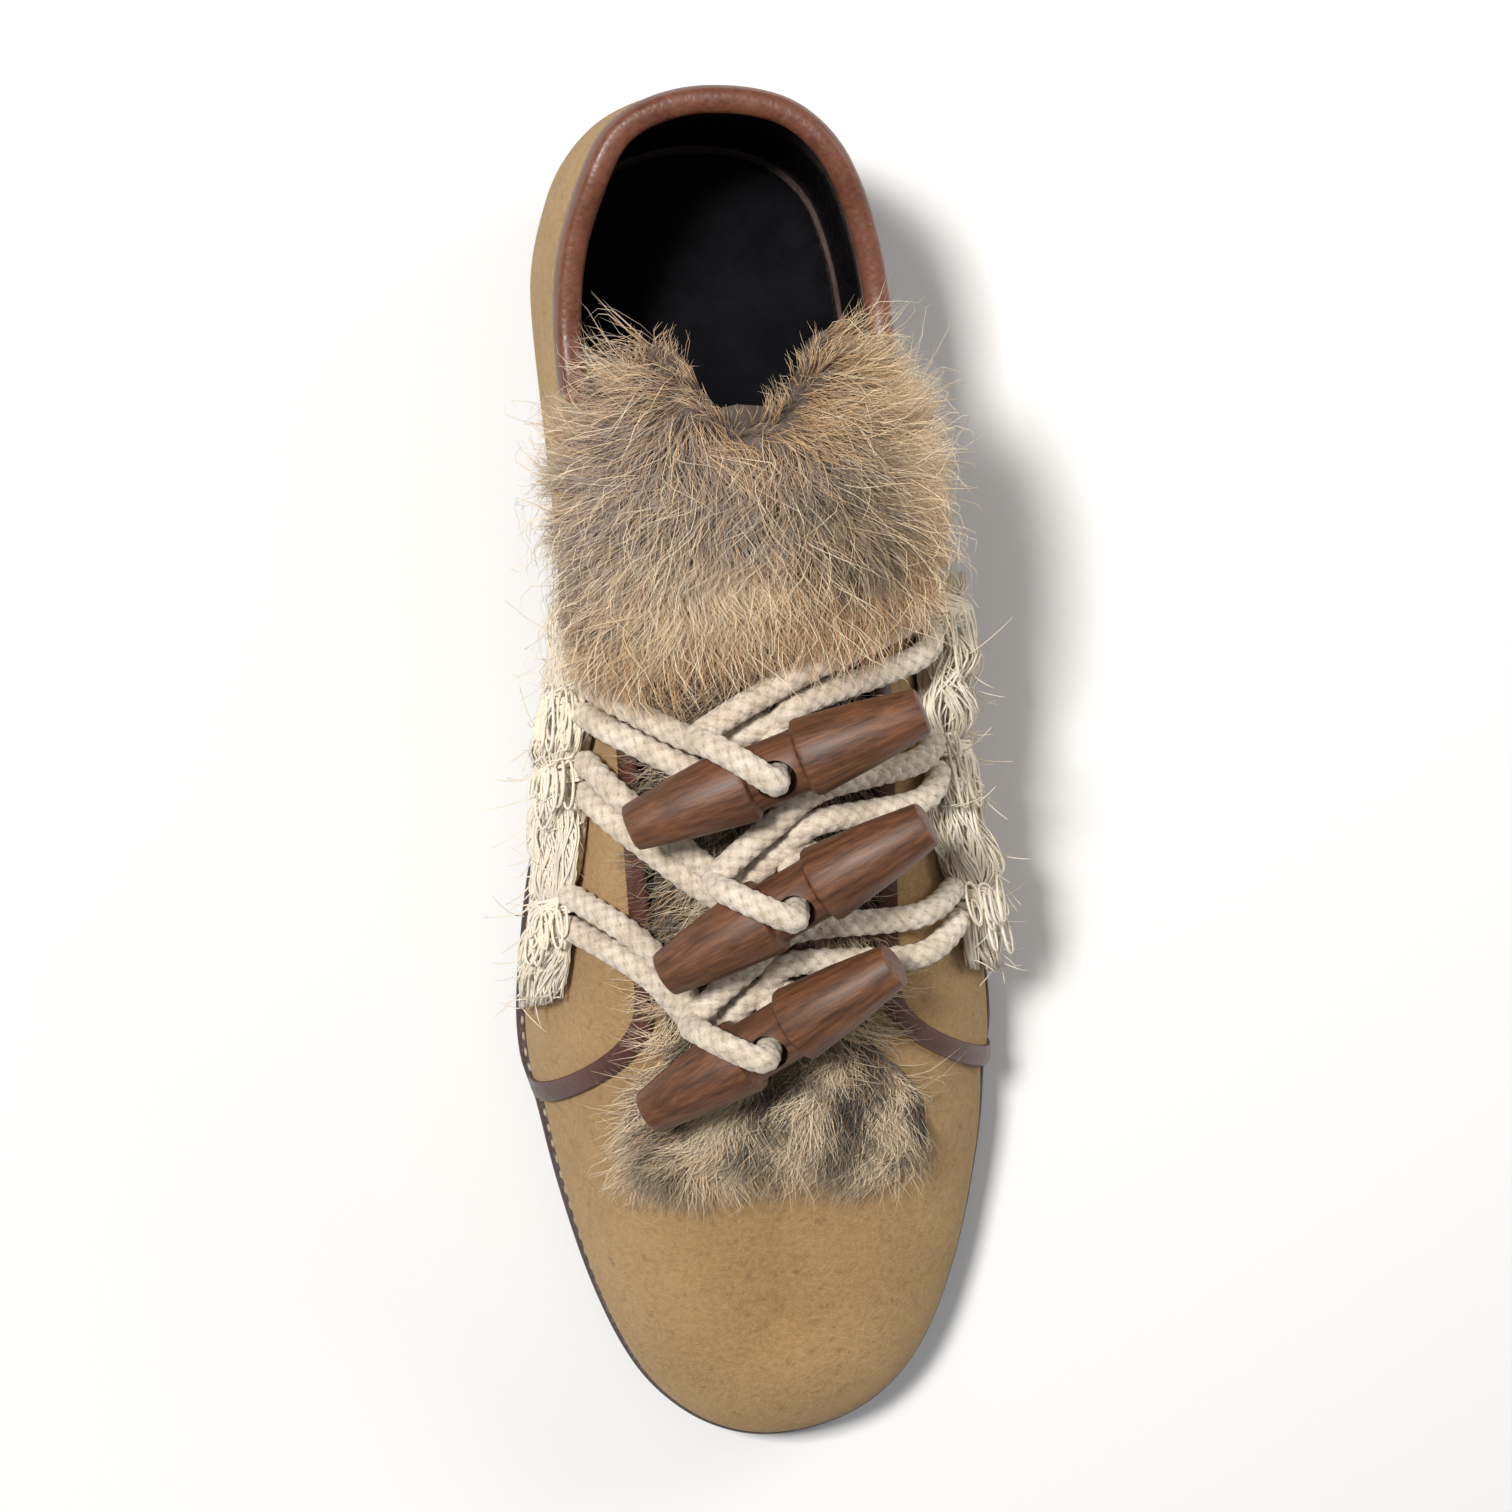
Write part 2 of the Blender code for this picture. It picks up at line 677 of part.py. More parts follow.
def make_quarter_binding(side, name, finish):
    """Leather edge of one quarter: down the throat, round the corner and down the front."""
    frames = []
    start_corner, up, normal = edge_frames(side, [TOP_COLUMN])[0]
    next_corner = edge_frames(side, [TOP_COLUMN - 1])[0][0]
    run = (next_corner - start_corner).normalized()
    frames.append((start_corner + run * (BINDING + 3 * FIT), up, normal))
    frames += edge_frames(side, range(TOP_COLUMN - 1, FIRST_QUARTER, -1))
    corner, up, normal = edge_frames(side, [FIRST_QUARTER])[0]
    rows = []
    for j in range(SIDE_ROWS, -1, -1):
        here = UPPER_POINTS[(side, FIRST_QUARTER, j)]
        behind = UPPER_POINTS[(side, FIRST_QUARTER + 1, j)]
        out = UPPER_NORMALS[(side, FIRST_QUARTER, j)]
        away = here - behind
        away = (away - out * away.dot(out)).normalized()
        rows.append((here + out * QUARTER_STEP, away, out))
    frames.append((corner, up, normal))
    frames.append((corner, (up + rows[0][1]).normalized(), normal))
    frames += rows[:-1]
    low_corner, low_away, low_out = rows[-1]
    above = rows[-2][0]
    stop = (WELT_THICKNESS + 3 * FIT) / (above.z - low_corner.z)
    frames.append((low_corner.lerp(above, stop), low_away, rows[-2][2]))
    under = -(QUARTER_STEP - FIT)
    profile = [
        (under, FIT), (EDGE_PROUD * 0.5, FIT), (EDGE_PROUD, EDGE_WIDTH * 0.3),
        (EDGE_PROUD * 0.9, EDGE_WIDTH * 0.75), (EDGE_PROUD * 0.2, FIT + EDGE_WIDTH),
        (under, FIT + EDGE_WIDTH),
    ]
    sections = [[spot + out * n + away * u for n, u in profile] for spot, away, out in frames]
    points, faces = ring_sweep(sections, False)
    if side < 0:
        faces = [face[::-1] for face in faces]
    return add_object(name, points, faces, finish, 50.0)


def crest_station(share):
    """Station whose section reaches a share along the crest."""
    low = 0.0
    high = 1.0
    for _ in range(30):
        middle = (low + high) / 2
        if section(middle)["crest"] < share:
            low = middle
        else:
            high = middle
    return high


def form_grid(stations, across):
    """Skin over the form: across(side, station) lists v from the crest down each side."""
    points = {}
    faces = []
    for i, at in enumerate(stations):
        for side in (1, -1):
            for j, v in enumerate(across(side, at)):
                points[(i, side * j)] = form(side, at, v)
    low = min(key[1] for key in points)
    high = max(key[1] for key in points)
    for i in range(len(stations) - 1):
        for j in range(low, high):
            faces.append([(i, j), (i, j + 1), (i + 1, j + 1), (i + 1, j)])
    return points, faces


def tongue_depth(at):
    """The tongue touches the vamp in front and sinks clear of the collar's leather behind."""
    behind = (FRONT_AT - at) / (FRONT_AT - TOP_AT)
    return WALL + FIT + TONGUE_DROP * min(max(behind * 1.4, 0.0), 1.0)


def make_tongue(finish):
    """Strip under the quarters, from beneath the vamp to over the collar."""
    first = crest_station(0.655)
    last = crest_station(0.235)
    steps = 12
    stations = [first + (last - first) * i / steps for i in range(steps + 1)]
    half_rows = 5

    def across(side, at):
        half = (THROAT_LATERAL if side > 0 else THROAT_MEDIAL) + TONGUE_LAP
        edge = v_at_half(side, at, half)
        return [1 - (1 - edge) * j / half_rows for j in range(half_rows + 1)]

    points, faces = form_grid(stations, across)
    normals = skin_normals(points, faces)
    outer = {}
    inner = {}
    for key, point in points.items():
        top = tongue_depth(stations[key[0]])
        outer[key] = point - normals[key] * top
        inner[key] = point - normals[key] * (top + TONGUE_THICKNESS)
    return shell_object("tongue", faces, outer, inner, finish)


def lock_shift(i, j):
    """Raised and lowered locks, side by side, in a pattern that doesn't look even."""
    return (1.0, -0.7, 0.35, -1.0, 0.7, -0.35)[(2 * i + 3 * j) % 6] * (1 if (i + j) % 2 else -1)


def fur_floor(side, at, v):
    """Fur lies on the tongue inside the throat and rides over the leather edges beside it."""
    edge = edge_v(side, at)
    inside = (form(side, at, v) - form(side, at, edge)).length
    if v > edge and inside > FUR_REACH_IN:
        return FIT - tongue_depth(at)
    return QUARTER_STEP + BINDING + 5 * FIT


def make_fur_cuff(finish):
    """Thick fur over the tongue's top: two lobes behind, a straight hem in front."""
    rows = 8
    half_rows = 8
    points = {}
    lift = {}
    floor = {}
    for i in range(rows + 1):
        t = i / rows
        for j in range(-half_rows, half_rows + 1):
            q = j / half_rows
            side = 1 if j >= 0 else -1
            behind = CUFF_NOTCH_SHARE - CUFF_LOBE_SHARE * math.sin(math.pi * min(abs(q) * 1.3, 0.8))
            front = CUFF_HEM_SHARE - (0.125 * q * q if q > 0 else 0.035 * q * q)
            tip = 0.008 * lock_shift(i, j) if i in (0, rows) else 0.0
            at = crest_station(behind + (front - behind) * t + tip)
            low = v_at_height(side, at, CUFF_LOW_SHARE * INSTEP_HEIGHT)
            v = 1 - (1 - low) * min(abs(q) * (1 + 0.05 * lock_shift(j, i) * (abs(j) == half_rows)), 1.1)
            points[(i, j)] = form(side, at, v)
            rim = min(math.sin(math.pi * min(max(t, 0.04), 0.96)) ** 0.5, (1.06 - q * q) ** 0.4)
            lift[(i, j)] = FUR_DEPTH * rim * (1 + 0.10 * lock_shift(i, j))
            floor[(i, j)] = fur_floor(side, at, v)
    faces = [[(i, j), (i, j + 1), (i + 1, j + 1), (i + 1, j)]
             for i in range(rows) for j in range(-half_rows, half_rows)]
    faces = [face[::-1] for face in faces]
    normals = skin_normals(points, faces)
    outer = {}
    inner = {}
    for key, point in points.items():
        inner[key] = point + normals[key] * floor[key]
        top = QUARTER_STEP + BINDING + 5 * FIT + lift[key]
        outer[key] = point + normals[key] * max(top, floor[key] + 0.25 * FUR_DEPTH)
    return shell_object("fur_cuff", faces, outer, inner, finish, 20.0)


def make_fur_apron(finish):
    """Fur strip down the throat under the cords, spread over the vamp in front."""
    rows = 20
    half_rows = 5
    first = APRON[0]["crest"]
    last = APRON[-1]["crest"]
    points = {}
    lift = {}
    floor = {}
    for i in range(rows + 1):
        share = first + (last - first) * i / rows
        for j in range(-half_rows, half_rows + 1):
            side = 1 if j >= 0 else -1
            reach = BALL_WIDTH * ease(APRON, "crest", "lateral" if side > 0 else "medial", share)
            spread = share > 0.715
            tip = 0.0055 * lock_shift(i, j) if i == rows else 0.0
            at = crest_station(share + tip - APRON_BOW_SHARE * (j / half_rows) ** 2 * (i / rows) ** 5)
            if spread and abs(j) == half_rows:
                reach *= 1 + 0.06 * lock_shift(i, j)
            v = v_at_half(side, at, max(reach * abs(j) / half_rows, 0.0001))
            points[(i, j)] = form(side, at, v) if j else form(1, at, 1.0)
            rim = (1.05 - (j / half_rows) ** 4) ** 0.3
            height = APRON_DEPTH * ease(APRON, "crest", "top", share) * rim
            if spread:
                height *= 1 + 0.16 * lock_shift(i, j)
            in_throat = foot_share(at) < QUARTER_FRONT_SHARE - 0.03
            over_vamp = (3.0 + 4.0 * (j / half_rows) ** 2 if spread else 2.5) * FIT
            floor[(i, j)] = FIT - tongue_depth(at) if in_throat else over_vamp
            lift[(i, j)] = max(height, floor[(i, j)] + APRON_HIDE)
    faces = [[(i, j), (i + 1, j), (i + 1, j + 1), (i, j + 1)]
             for i in range(rows) for j in range(-half_rows, half_rows)]
    normals = skin_normals(points, faces)
    outer = {key: p + normals[key] * lift[key] for key, p in points.items()}
    inner = {key: p + normals[key] * floor[key] for key, p in points.items()}
    return shell_object("fur_apron", faces, outer, inner, finish, 20.0)


def make_fringe(side, table, name, finish):
    """Frayed cotton yarn tied along one quarter: ridged strands with a ragged hem."""
    columns = 16
    rows = 5
    first = table[0]["foot"]
    last = table[-1]["foot"]
    points = {}
    lift = {}
    for i in range(columns + 1):
        share = first + (last - first) * i / columns
        at = station(share)
        top = INSTEP_HEIGHT * ease(table, "foot", "top", share)
        low = INSTEP_HEIGHT * ease(table, "foot", "low", share)
        low += FRINGE_DEPTH * 0.35 * lock_shift(i, 1)
        depth = FRINGE_DEPTH * ease(table, "foot", "depth", share)
        depth *= 0.5 if i in (0, columns) else 1.0 + 0.13 * lock_shift(i, 0)
        for j in range(rows + 1):
            height = top + (low - top) * j / rows
            points[(i, j)] = form(side, at, v_at_height(side, at, height))
            swell = math.sin(math.pi * (0.12 + 0.80 * j / rows)) ** 0.6
            lift[(i, j)] = QUARTER_STEP + 2 * FIT + depth * swell
    faces = [[(i, j), (i + 1, j), (i + 1, j + 1), (i, j + 1)]
             for i in range(columns) for j in range(rows)]
    if side < 0:
        faces = [face[::-1] for face in faces]
    normals = skin_normals(points, faces)
    outer = {key: p + normals[key] * lift[key] for key, p in points.items()}
    inner = {key: p + normals[key] * (QUARTER_STEP + 2 * FIT) for key, p in points.items()}
    return shell_object(name, faces, outer, inner, finish, 20.0)


def toggle_mesh(finish):
    """Turned toggle along X: two cones, a cut waist, a socket in one end, a cross hole."""
    half = TOGGLE_LENGTH / 2
    waist = TOGGLE_WAIST_WIDTH / 2
    turned = [
        (-half + TOGGLE_SOCKET_DEPTH, TOGGLE_SOCKET * 0.5), (-half, TOGGLE_SOCKET),
        (-half, TOGGLE_END * 0.86), (-half + TOGGLE_EDGE, TOGGLE_END),
        (-waist - TOGGLE_EDGE, TOGGLE_RADIUS), (-waist, TOGGLE_RADIUS * 0.96), (-waist, TOGGLE_WAIST),
        (waist, TOGGLE_WAIST), (waist, TOGGLE_RADIUS * 0.96), (waist + TOGGLE_EDGE, TOGGLE_RADIUS),
        (half - TOGGLE_EDGE, TOGGLE_END), (half, TOGGLE_END * 0.86),
    ]
    sides = 14
    sections = []
    for x, radius in turned:
        turns = [2 * math.pi * k / sides for k in range(sides)]
        sections.append([Vector((x, radius * math.cos(a), radius * math.sin(a))) for a in turns])
    points, faces = ring_sweep(sections, False)
    solid = add_object("toggle_blank", points, faces, finish, 30.0)
    drill_mesh = bpy.data.meshes.new("toggle_drill")
    drill_shape = bmesh.new()
    bmesh.ops.create_cone(drill_shape, cap_ends=True, segments=12, radius1=TOGGLE_BORE,
                          radius2=TOGGLE_BORE, depth=4 * TOGGLE_RADIUS)
    drill_shape.to_mesh(drill_mesh)
    drill_shape.free()
    drill = bpy.data.objects.new("toggle_drill", drill_mesh)
    drill.hide_render = True
    drill.display_type = "WIRE"
    bpy.context.scene.collection.objects.link(drill)
    hole = solid.modifiers.new("hole", "BOOLEAN")
    hole.operation = "DIFFERENCE"
    hole.object = drill
    view = bpy.context.evaluated_depsgraph_get()
    made = bpy.data.meshes.new_from_object(solid.evaluated_get(view))
    bpy.data.objects.remove(solid, do_unlink=True)
    bpy.data.objects.remove(drill, do_unlink=True)
    return made


def toggle_frame(row):
    """Centre of a toggle, its axis, the direction towards the heel and the way up."""
    lift = CORD_LIFT + CORD_RADIUS + TOGGLE_RADIUS + FIT
    centre = over_form(row["x"], row["along"], lift)
    up = (over_form(row["x"], row["along"], 2 * lift) - centre).normalized()
    lean = math.radians(row["lean"])
    axis = Vector((math.cos(lean), math.sin(lean), 0.0))
    axis = (axis - up * axis.dot(up)).normalized()
    return centre, axis, up.cross(axis), up


def make_toggles(finish):
    mesh = toggle_mesh(finish)
    for number, row in enumerate(TOGGLE_ROWS, 1):
        centre, axis, back, up = toggle_frame(row)
        made = bpy.data.objects.new(f"toggle_{number}", mesh)
        turn = Matrix((axis, back, up)).transposed()
        made.matrix_world = Matrix.Translation(centre) @ turn.to_4x4()
        bpy.context.scene.collection.objects.link(made)


def smooth_path(knots, spacing):
    """Even points along a smooth curve through a cord's knots."""
    dense = []
    for i in range(len(knots) - 1):
        a = knots[max(i - 1, 0)]
        b = knots[i]
        c = knots[i + 1]
        d = knots[min(i + 2, len(knots) - 1)]
        for k in range(12):
            t = k / 12
            dense.append(0.5 * (2 * b + (c - a) * t + (2 * a - 5 * b + 4 * c - d) * t**2
                                + (3 * b - a - 3 * c + d) * t**3))
    dense.append(knots[-1])
    lengths = [0.0]
    for i in range(1, len(dense)):
        lengths.append(lengths[-1] + (dense[i] - dense[i - 1]).length)
    count = max(int(round(lengths[-1] / spacing)), 2)
    path = []
    at = 0
    for k in range(count + 1):
        goal = lengths[-1] * k / count
        while at < len(dense) - 2 and lengths[at + 1] < goal:
            at += 1
        span = lengths[at + 1] - lengths[at]
        path.append(dense[at].lerp(dense[at + 1], (goal - lengths[at]) / span))
    return path


def tube(path, radius, sides):
    """Closed tube along a path, its sections carried along without twist."""
    sections = []
    guide = Vector((0.0, 0.0, 1.0))
    for i, place in enumerate(path):
        run = (path[min(i + 1, len(path) - 1)] - path[max(i - 1, 0)]).normalized()
        guide = (guide - run * guide.dot(run)).normalized()
        across = run.cross(guide)
        turns = [2 * math.pi * k / sides for k in range(sides)]
        sections.append([place + (guide * math.cos(a) + across * math.sin(a)) * radius
                         for a in turns])
    return ring_sweep(sections, False)


def make_cord_row(number, row, finish):
    """Cords of one row: the outer one through the toggle, the inner loop round its neck."""
    centre, axis, back, up = toggle_frame(row)
    reach = TOGGLE_RADIUS + CORD_RADIUS

    def wrap(places):
        return [centre + (axis * a + back * b + up * c) * reach for a, b, c in places]

    def beside(place, share, lift):
        return over_form(SHOULDER[place], share, CORD_LIFT * lift)

    def from_yarn(side, foot, height):
        return on_side(side, foot, height, CORD_LIFT)

    foot = row["lateral_foot"]
    height = row["lateral_height"]
    share = foot * 0.70 + row["along"] * 0.30
    lateral = [from_yarn(1, foot, height), beside("outer", share - 0.018, 1.12)]
    lateral += wrap(OUTER_WRAP)
    lateral += [beside("outer", share + 0.010, 1.20),
                from_yarn(1, foot + STRAND_STEP_SHARE, height - STRAND_FALL_SHARE)]
    foot = row["medial_foot"]
    height = row["medial_height"]
    share = foot * 0.60 + row["along"] * 0.40
    medial = [from_yarn(-1, foot, height), beside("inner", share - 0.5 * STRAND_STEP_SHARE, 1.08)]
    medial += wrap(INNER_WRAP)
    medial += [beside("inner", share + 0.5 * STRAND_STEP_SHARE, 1.08),
               from_yarn(-1, foot + STRAND_STEP_SHARE, height - STRAND_FALL_SHARE)]
    name = f"cord_row_{number}"
    spacing = 2.2 * CORD_RADIUS
    points, faces = tube(smooth_path(lateral, spacing), CORD_RADIUS, CORD_SIDES)
    solid = add_object(name, points, faces, finish, 60.0)
    points, faces = tube(smooth_path(medial, spacing), CORD_RADIUS * 0.985, CORD_SIDES)
    loop = add_object(name + "_loop", points, faces, finish, 60.0)
    loop.hide_render = True
    loop.display_type = "WIRE"
    join = solid.modifiers.new("join", "BOOLEAN")
    join.operation = "UNION"
    join.object = loop
    return solid


def make_finishes():
    return {
        "felt": material("camel_felt", (0.435, 0.262, 0.107), 0.95),
        "edge": material("brown_leather", (0.115, 0.040, 0.026), 0.5),
        "quarter_edge": material("dark_leather", (0.075, 0.027, 0.022), 0.5),
        "sole": material("sole_leather", (0.050, 0.022, 0.014), 0.55),
        "welt": material("welt_leather", (0.038, 0.016, 0.011), 0.5),
        "heel": material("stacked_leather", (0.045, 0.020, 0.013), 0.5),
        "insole": material("sock_leather", (0.010, 0.011, 0.014), 0.35),
        "tongue": material("tongue_leather", (0.060, 0.040, 0.028), 0.7),
        "fur": material("fur", (0.400, 0.270, 0.150), 0.95),
        "wood": material("toggle_wood", (0.115, 0.034, 0.014), 0.4),
        "cord": material("cotton_cord", (0.760, 0.660, 0.520), 0.9),
        "yarn": material("cotton_yarn", (0.840, 0.760, 0.600), 0.95),
    }


def main():
    for old in list(bpy.data.objects):
        bpy.data.objects.remove(old, do_unlink=True)
    finishes = make_finishes()
    make_outsole(finishes["sole"])
    make_welt(finishes["welt"])
    make_heel(finishes["heel"])
    make_insole(finishes["insole"])
    make_upper(finishes["felt"])
    make_tongue(finishes["tongue"])
    make_collar_binding(finishes["edge"])
    make_quarter_binding(1, "quarter_binding_lateral", finishes["quarter_edge"])
    make_quarter_binding(-1, "quarter_binding_medial", finishes["quarter_edge"])
    make_fur_cuff(finishes["fur"])
    make_fur_apron(finishes["fur"])
    make_toggles(finishes["wood"])
    for number, row in enumerate(TOGGLE_ROWS, 1):
        make_cord_row(number, row, finishes["cord"])
    make_fringe(1, FRINGE_LATERAL, "fringe_lateral", finishes["yarn"])
    make_fringe(-1, FRINGE_MEDIAL, "fringe_medial", finishes["yarn"])


main()
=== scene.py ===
"""Left felt derby shoe with a fur tongue, wooden toggles, cotton cords and frayed yarn."""
from functools import lru_cache
from math import acos, cos, exp, floor, pi, radians, sin, sqrt, tanh

import bmesh
import bpy
import numpy as np
from mathutils import Matrix, Vector
from mathutils.bvhtree import BVHTree


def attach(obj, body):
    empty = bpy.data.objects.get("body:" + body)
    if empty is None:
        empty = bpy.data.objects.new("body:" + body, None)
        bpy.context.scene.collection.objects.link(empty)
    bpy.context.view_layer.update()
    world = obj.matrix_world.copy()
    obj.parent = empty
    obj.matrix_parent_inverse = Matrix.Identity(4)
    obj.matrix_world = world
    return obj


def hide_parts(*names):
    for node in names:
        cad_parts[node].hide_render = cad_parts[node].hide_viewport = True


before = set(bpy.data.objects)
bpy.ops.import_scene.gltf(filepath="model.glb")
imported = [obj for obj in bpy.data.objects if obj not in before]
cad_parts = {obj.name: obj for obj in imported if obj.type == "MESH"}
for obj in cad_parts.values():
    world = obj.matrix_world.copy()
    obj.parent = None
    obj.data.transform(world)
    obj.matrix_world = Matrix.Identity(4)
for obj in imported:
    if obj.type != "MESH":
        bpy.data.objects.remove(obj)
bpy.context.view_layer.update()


# The view
# The shoe is seen from overhead with its toe down, a little from its inner side. It stands
# on a plain pale floor under wide soft lamps.
EYE = Vector((-0.0433, -0.0970, 0.700))
AIM = Vector((0.0078, -0.1008, 0.0))
IMAGE_UP = Vector((0.0745, 0.997, 0.0))
LENS = 72.9
SENSOR = 36.0
NEAREST = 0.01
LAMP_AIM = Vector((0.0, -0.10, 0.04))
WORLD_COLOUR = (0.95, 0.97, 1.0, 1.0)
WORLD_STRENGTH = 0.16
FLOOR_COLOUR = (0.86, 0.86, 0.86, 1.0)
FLOOR_SIZE = 3.0


def aimed(place, target, up):
    """Turn and place that look from a point at a target."""
    back = (place - target).normalized()
    right = up.cross(back).normalized()
    turn = Matrix((right, back.cross(right), back)).transposed()
    return Matrix.Translation(place) @ turn.to_4x4()


def set_down(name, data):
    """New object in the scene."""
    made = bpy.data.objects.new(name, data)
    bpy.context.scene.collection.objects.link(made)
    return made


def mesh_of(name, body):
    """New mesh from a bmesh, which is freed."""
    mesh = bpy.data.meshes.new(name)
    body.to_mesh(mesh)
    body.free()
    return mesh


camera_data = bpy.data.cameras.new("overhead")
camera_data.lens = LENS
camera_data.sensor_width = SENSOR
camera_data.clip_start = NEAREST
camera = set_down("overhead", camera_data)
camera.matrix_world = aimed(EYE, AIM, IMAGE_UP)
bpy.context.scene.camera = camera

LAMPS = [
    dict(name="key", place=(-0.42, 0.12, 1.25), size=0.20, power=17.6, colour=(1.0, 0.98, 0.95)),
    dict(name="side", place=(0.80, 0.25, 0.45), size=0.50, power=3.0, colour=(1.0, 0.98, 0.95)),
    dict(name="top", place=(0.15, -0.20, 1.40), size=1.00, power=1.2, colour=(0.97, 0.98, 1.0)),
]
for lamp in LAMPS:
    light = bpy.data.lights.new(lamp["name"], "AREA")
    light.size = lamp["size"]
    light.energy = lamp["power"]
    light.color = lamp["colour"]
    set_down(lamp["name"], light).matrix_world = aimed(Vector(lamp["place"]), LAMP_AIM,
                                                       Vector((0, 1, 0)))

world = bpy.data.worlds.new("studio")
world.use_nodes = True
sky = world.node_tree.nodes["Background"]
sky.inputs["Color"].default_value = WORLD_COLOUR
sky.inputs["Strength"].default_value = WORLD_STRENGTH
bpy.context.scene.world = world
bpy.context.scene.view_settings.view_transform = "Standard"


def add(tree, kind, inputs=(), **settings):
    """New node with its settings and inputs, linked where an input is another socket."""
    made = tree.nodes.new(kind)
    for name, value in settings.items():
        setattr(made, name, value)
    for key, value in dict(inputs).items():
        if isinstance(value, bpy.types.NodeSocket):
            tree.links.new(value, made.inputs[key])
        else:
            made.inputs[key].default_value = value
    return made


def new_finish(name, **sockets):
    """New material: its node tree and shader, with constants set on the shader."""
    made = bpy.data.materials.new(name)
    made.use_nodes = True
    shader = made.node_tree.nodes["Principled BSDF"]
    for key, value in sockets.items():
        shader.inputs[key.replace("_", " ")].default_value = value
    return made, made.node_tree, shader


floor_body = bmesh.new()
bmesh.ops.create_grid(floor_body, x_segments=1, y_segments=1, size=FLOOR_SIZE)
ground = set_down("floor", mesh_of("floor", floor_body))
ground.data.materials.append(new_finish("pale_floor", Base_Color=FLOOR_COLOUR, Roughness=0.85)[0])


# The last
# The felt keeps the shape of the wooden last that it was drawn over. Every piece is laid
# over this form, from the heel, station 0, to the toe, station 1, and from the base line,
# 0, up to the crest, 1.
LENGTH = 0.286
HEEL_END = 0.0365
BALL_WIDTH = 0.098
INSTEP_HEIGHT = 0.104
COLLAR_HEIGHT = 0.087
CREST_OFFSET = 0.002
HEEL_LIFT = 0.019
TOE_SPRING = 0.008
NORMAL_NUDGE = 0.006            # how far apart the form is read for its directions
PLAN_NUDGE = 0.004
HALVINGS = 20                   # steps of each search up a section
SPRING_START = 0.74
SPRING_POWER = 1.8
SOLE_THICKNESS = 0.0055
SEAT_GAP = 0.00045
FIT = 0.0003
QUARTER_FRONT = 0.713
THROAT_TOP = 0.325
THROAT = {1: 0.0260, -1: 0.0262}
SECTIONS = {
    "foot": (0.0, 0.02, 0.06, 0.13, 0.25, 0.34, 0.43, 0.52, 0.6, 0.68, 0.76, 0.83, 0.89,
             0.945, 0.98, 1.0),
    "medial": (0.0, 0.205, 0.288, 0.33, 0.316, 0.312, 0.342, 0.4, 0.45, 0.478, 0.447, 0.405,
               0.354, 0.279, 0.18, 0.0),
    "lateral": (0.0, 0.212, 0.303, 0.345, 0.362, 0.382, 0.41, 0.462, 0.506, 0.53, 0.51, 0.466,
                0.408, 0.324, 0.218, 0.0),
    "crest": (0.11, 0.12, 0.145, 0.185, 0.235, 0.29, 0.365, 0.455, 0.535, 0.61, 0.7, 0.78,
              0.835, 0.87, 0.892, 0.9),
    "height": (0.99, 0.99, 0.985, 0.985, 0.995, 1.0, 0.96, 0.88, 0.79, 0.68, 0.565, 0.48,
               0.432, 0.4, 0.382, 0.376),
    "square_medial": (3.3, 3.1, 2.8, 2.6, 2.7, 2.8, 2.5, 2.25, 2.15, 2.1, 2.15, 2.2, 2.25, 2.3,
                      2.35, 2.35),
    "square_lateral": (3.3, 3.6, 3.7, 3.7, 3.4, 2.9, 2.5, 2.25, 2.15, 2.15, 2.2, 2.25, 2.3,
                       2.35, 2.35, 2.35),
    "belly": (0.022, 0.026, 0.03, 0.034, 0.034, 0.03, 0.024, 0.018, 0.016, 0.018, 0.021, 0.023,
              0.024, 0.024, 0.023, 0.022),
}
TOP_LINE = ((0.0, 0.04, 0.1, 0.18, 0.245, 0.29, 0.325),
            (1.0, 0.985, 0.915, 0.855, 0.89, 0.965, 1.055))
ARCH = ((0.0, 0.285, 0.35, 0.45, 0.54, 0.6), (1.0, 1.0, 0.86, 0.46, 0.1, 0.0))


def ease(xs, ys, value, level_ends=False):
    """Reads a column between its rows along a smooth curve that doesn't overshoot."""
    if value <= xs[0]:
        return ys[0]
    if value >= xs[-1]:
        return ys[-1]
    count = len(xs)
    slopes = [(ys[i + 1] - ys[i]) / (xs[i + 1] - xs[i]) for i in range(count - 1)]
    at = next(i for i in range(count - 1) if value <= xs[i + 1])
    tangents = []
    for i in (at, at + 1):
        if i == 0 or i == count - 1:
            tangents.append(0.0 if level_ends else slopes[min(i, count - 2)])
        elif slopes[i - 1] * slopes[i] <= 0:
            tangents.append(0.0)
        else:
            tangents.append(2 * slopes[i - 1] * slopes[i] / (slopes[i - 1] + slopes[i]))
    step = xs[at + 1] - xs[at]
    t = (value - xs[at]) / step
    return ((2 * t**3 - 3 * t**2 + 1) * ys[at] + (t**3 - 2 * t**2 + t) * step * tangents[0]
            + (3 * t**2 - 2 * t**3) * ys[at + 1] + (t**3 - t**2) * step * tangents[1])


def unit(value):
    return min(max(value, 0.0), 1.0)


def station(share):
    """Station at a share of the last's length, from the heel."""
    return acos(1 - 2 * unit(share)) / pi


def foot_share(at):
    return (1 - cos(pi * at)) / 2


STATIONS = tuple(station(foot) for foot in SECTIONS["foot"])
FRONT_AT = station(QUARTER_FRONT)
TOP_AT = station(THROAT_TOP)


@lru_cache(maxsize=None)
def section(at):
    """Row of the table of sections, read between its stations."""
    cut = {name: ease(STATIONS, column, at, name not in ("medial", "lateral"))
           for name, column in SECTIONS.items()}
    cut["foot"] = foot_share(unit(at))
    return cut


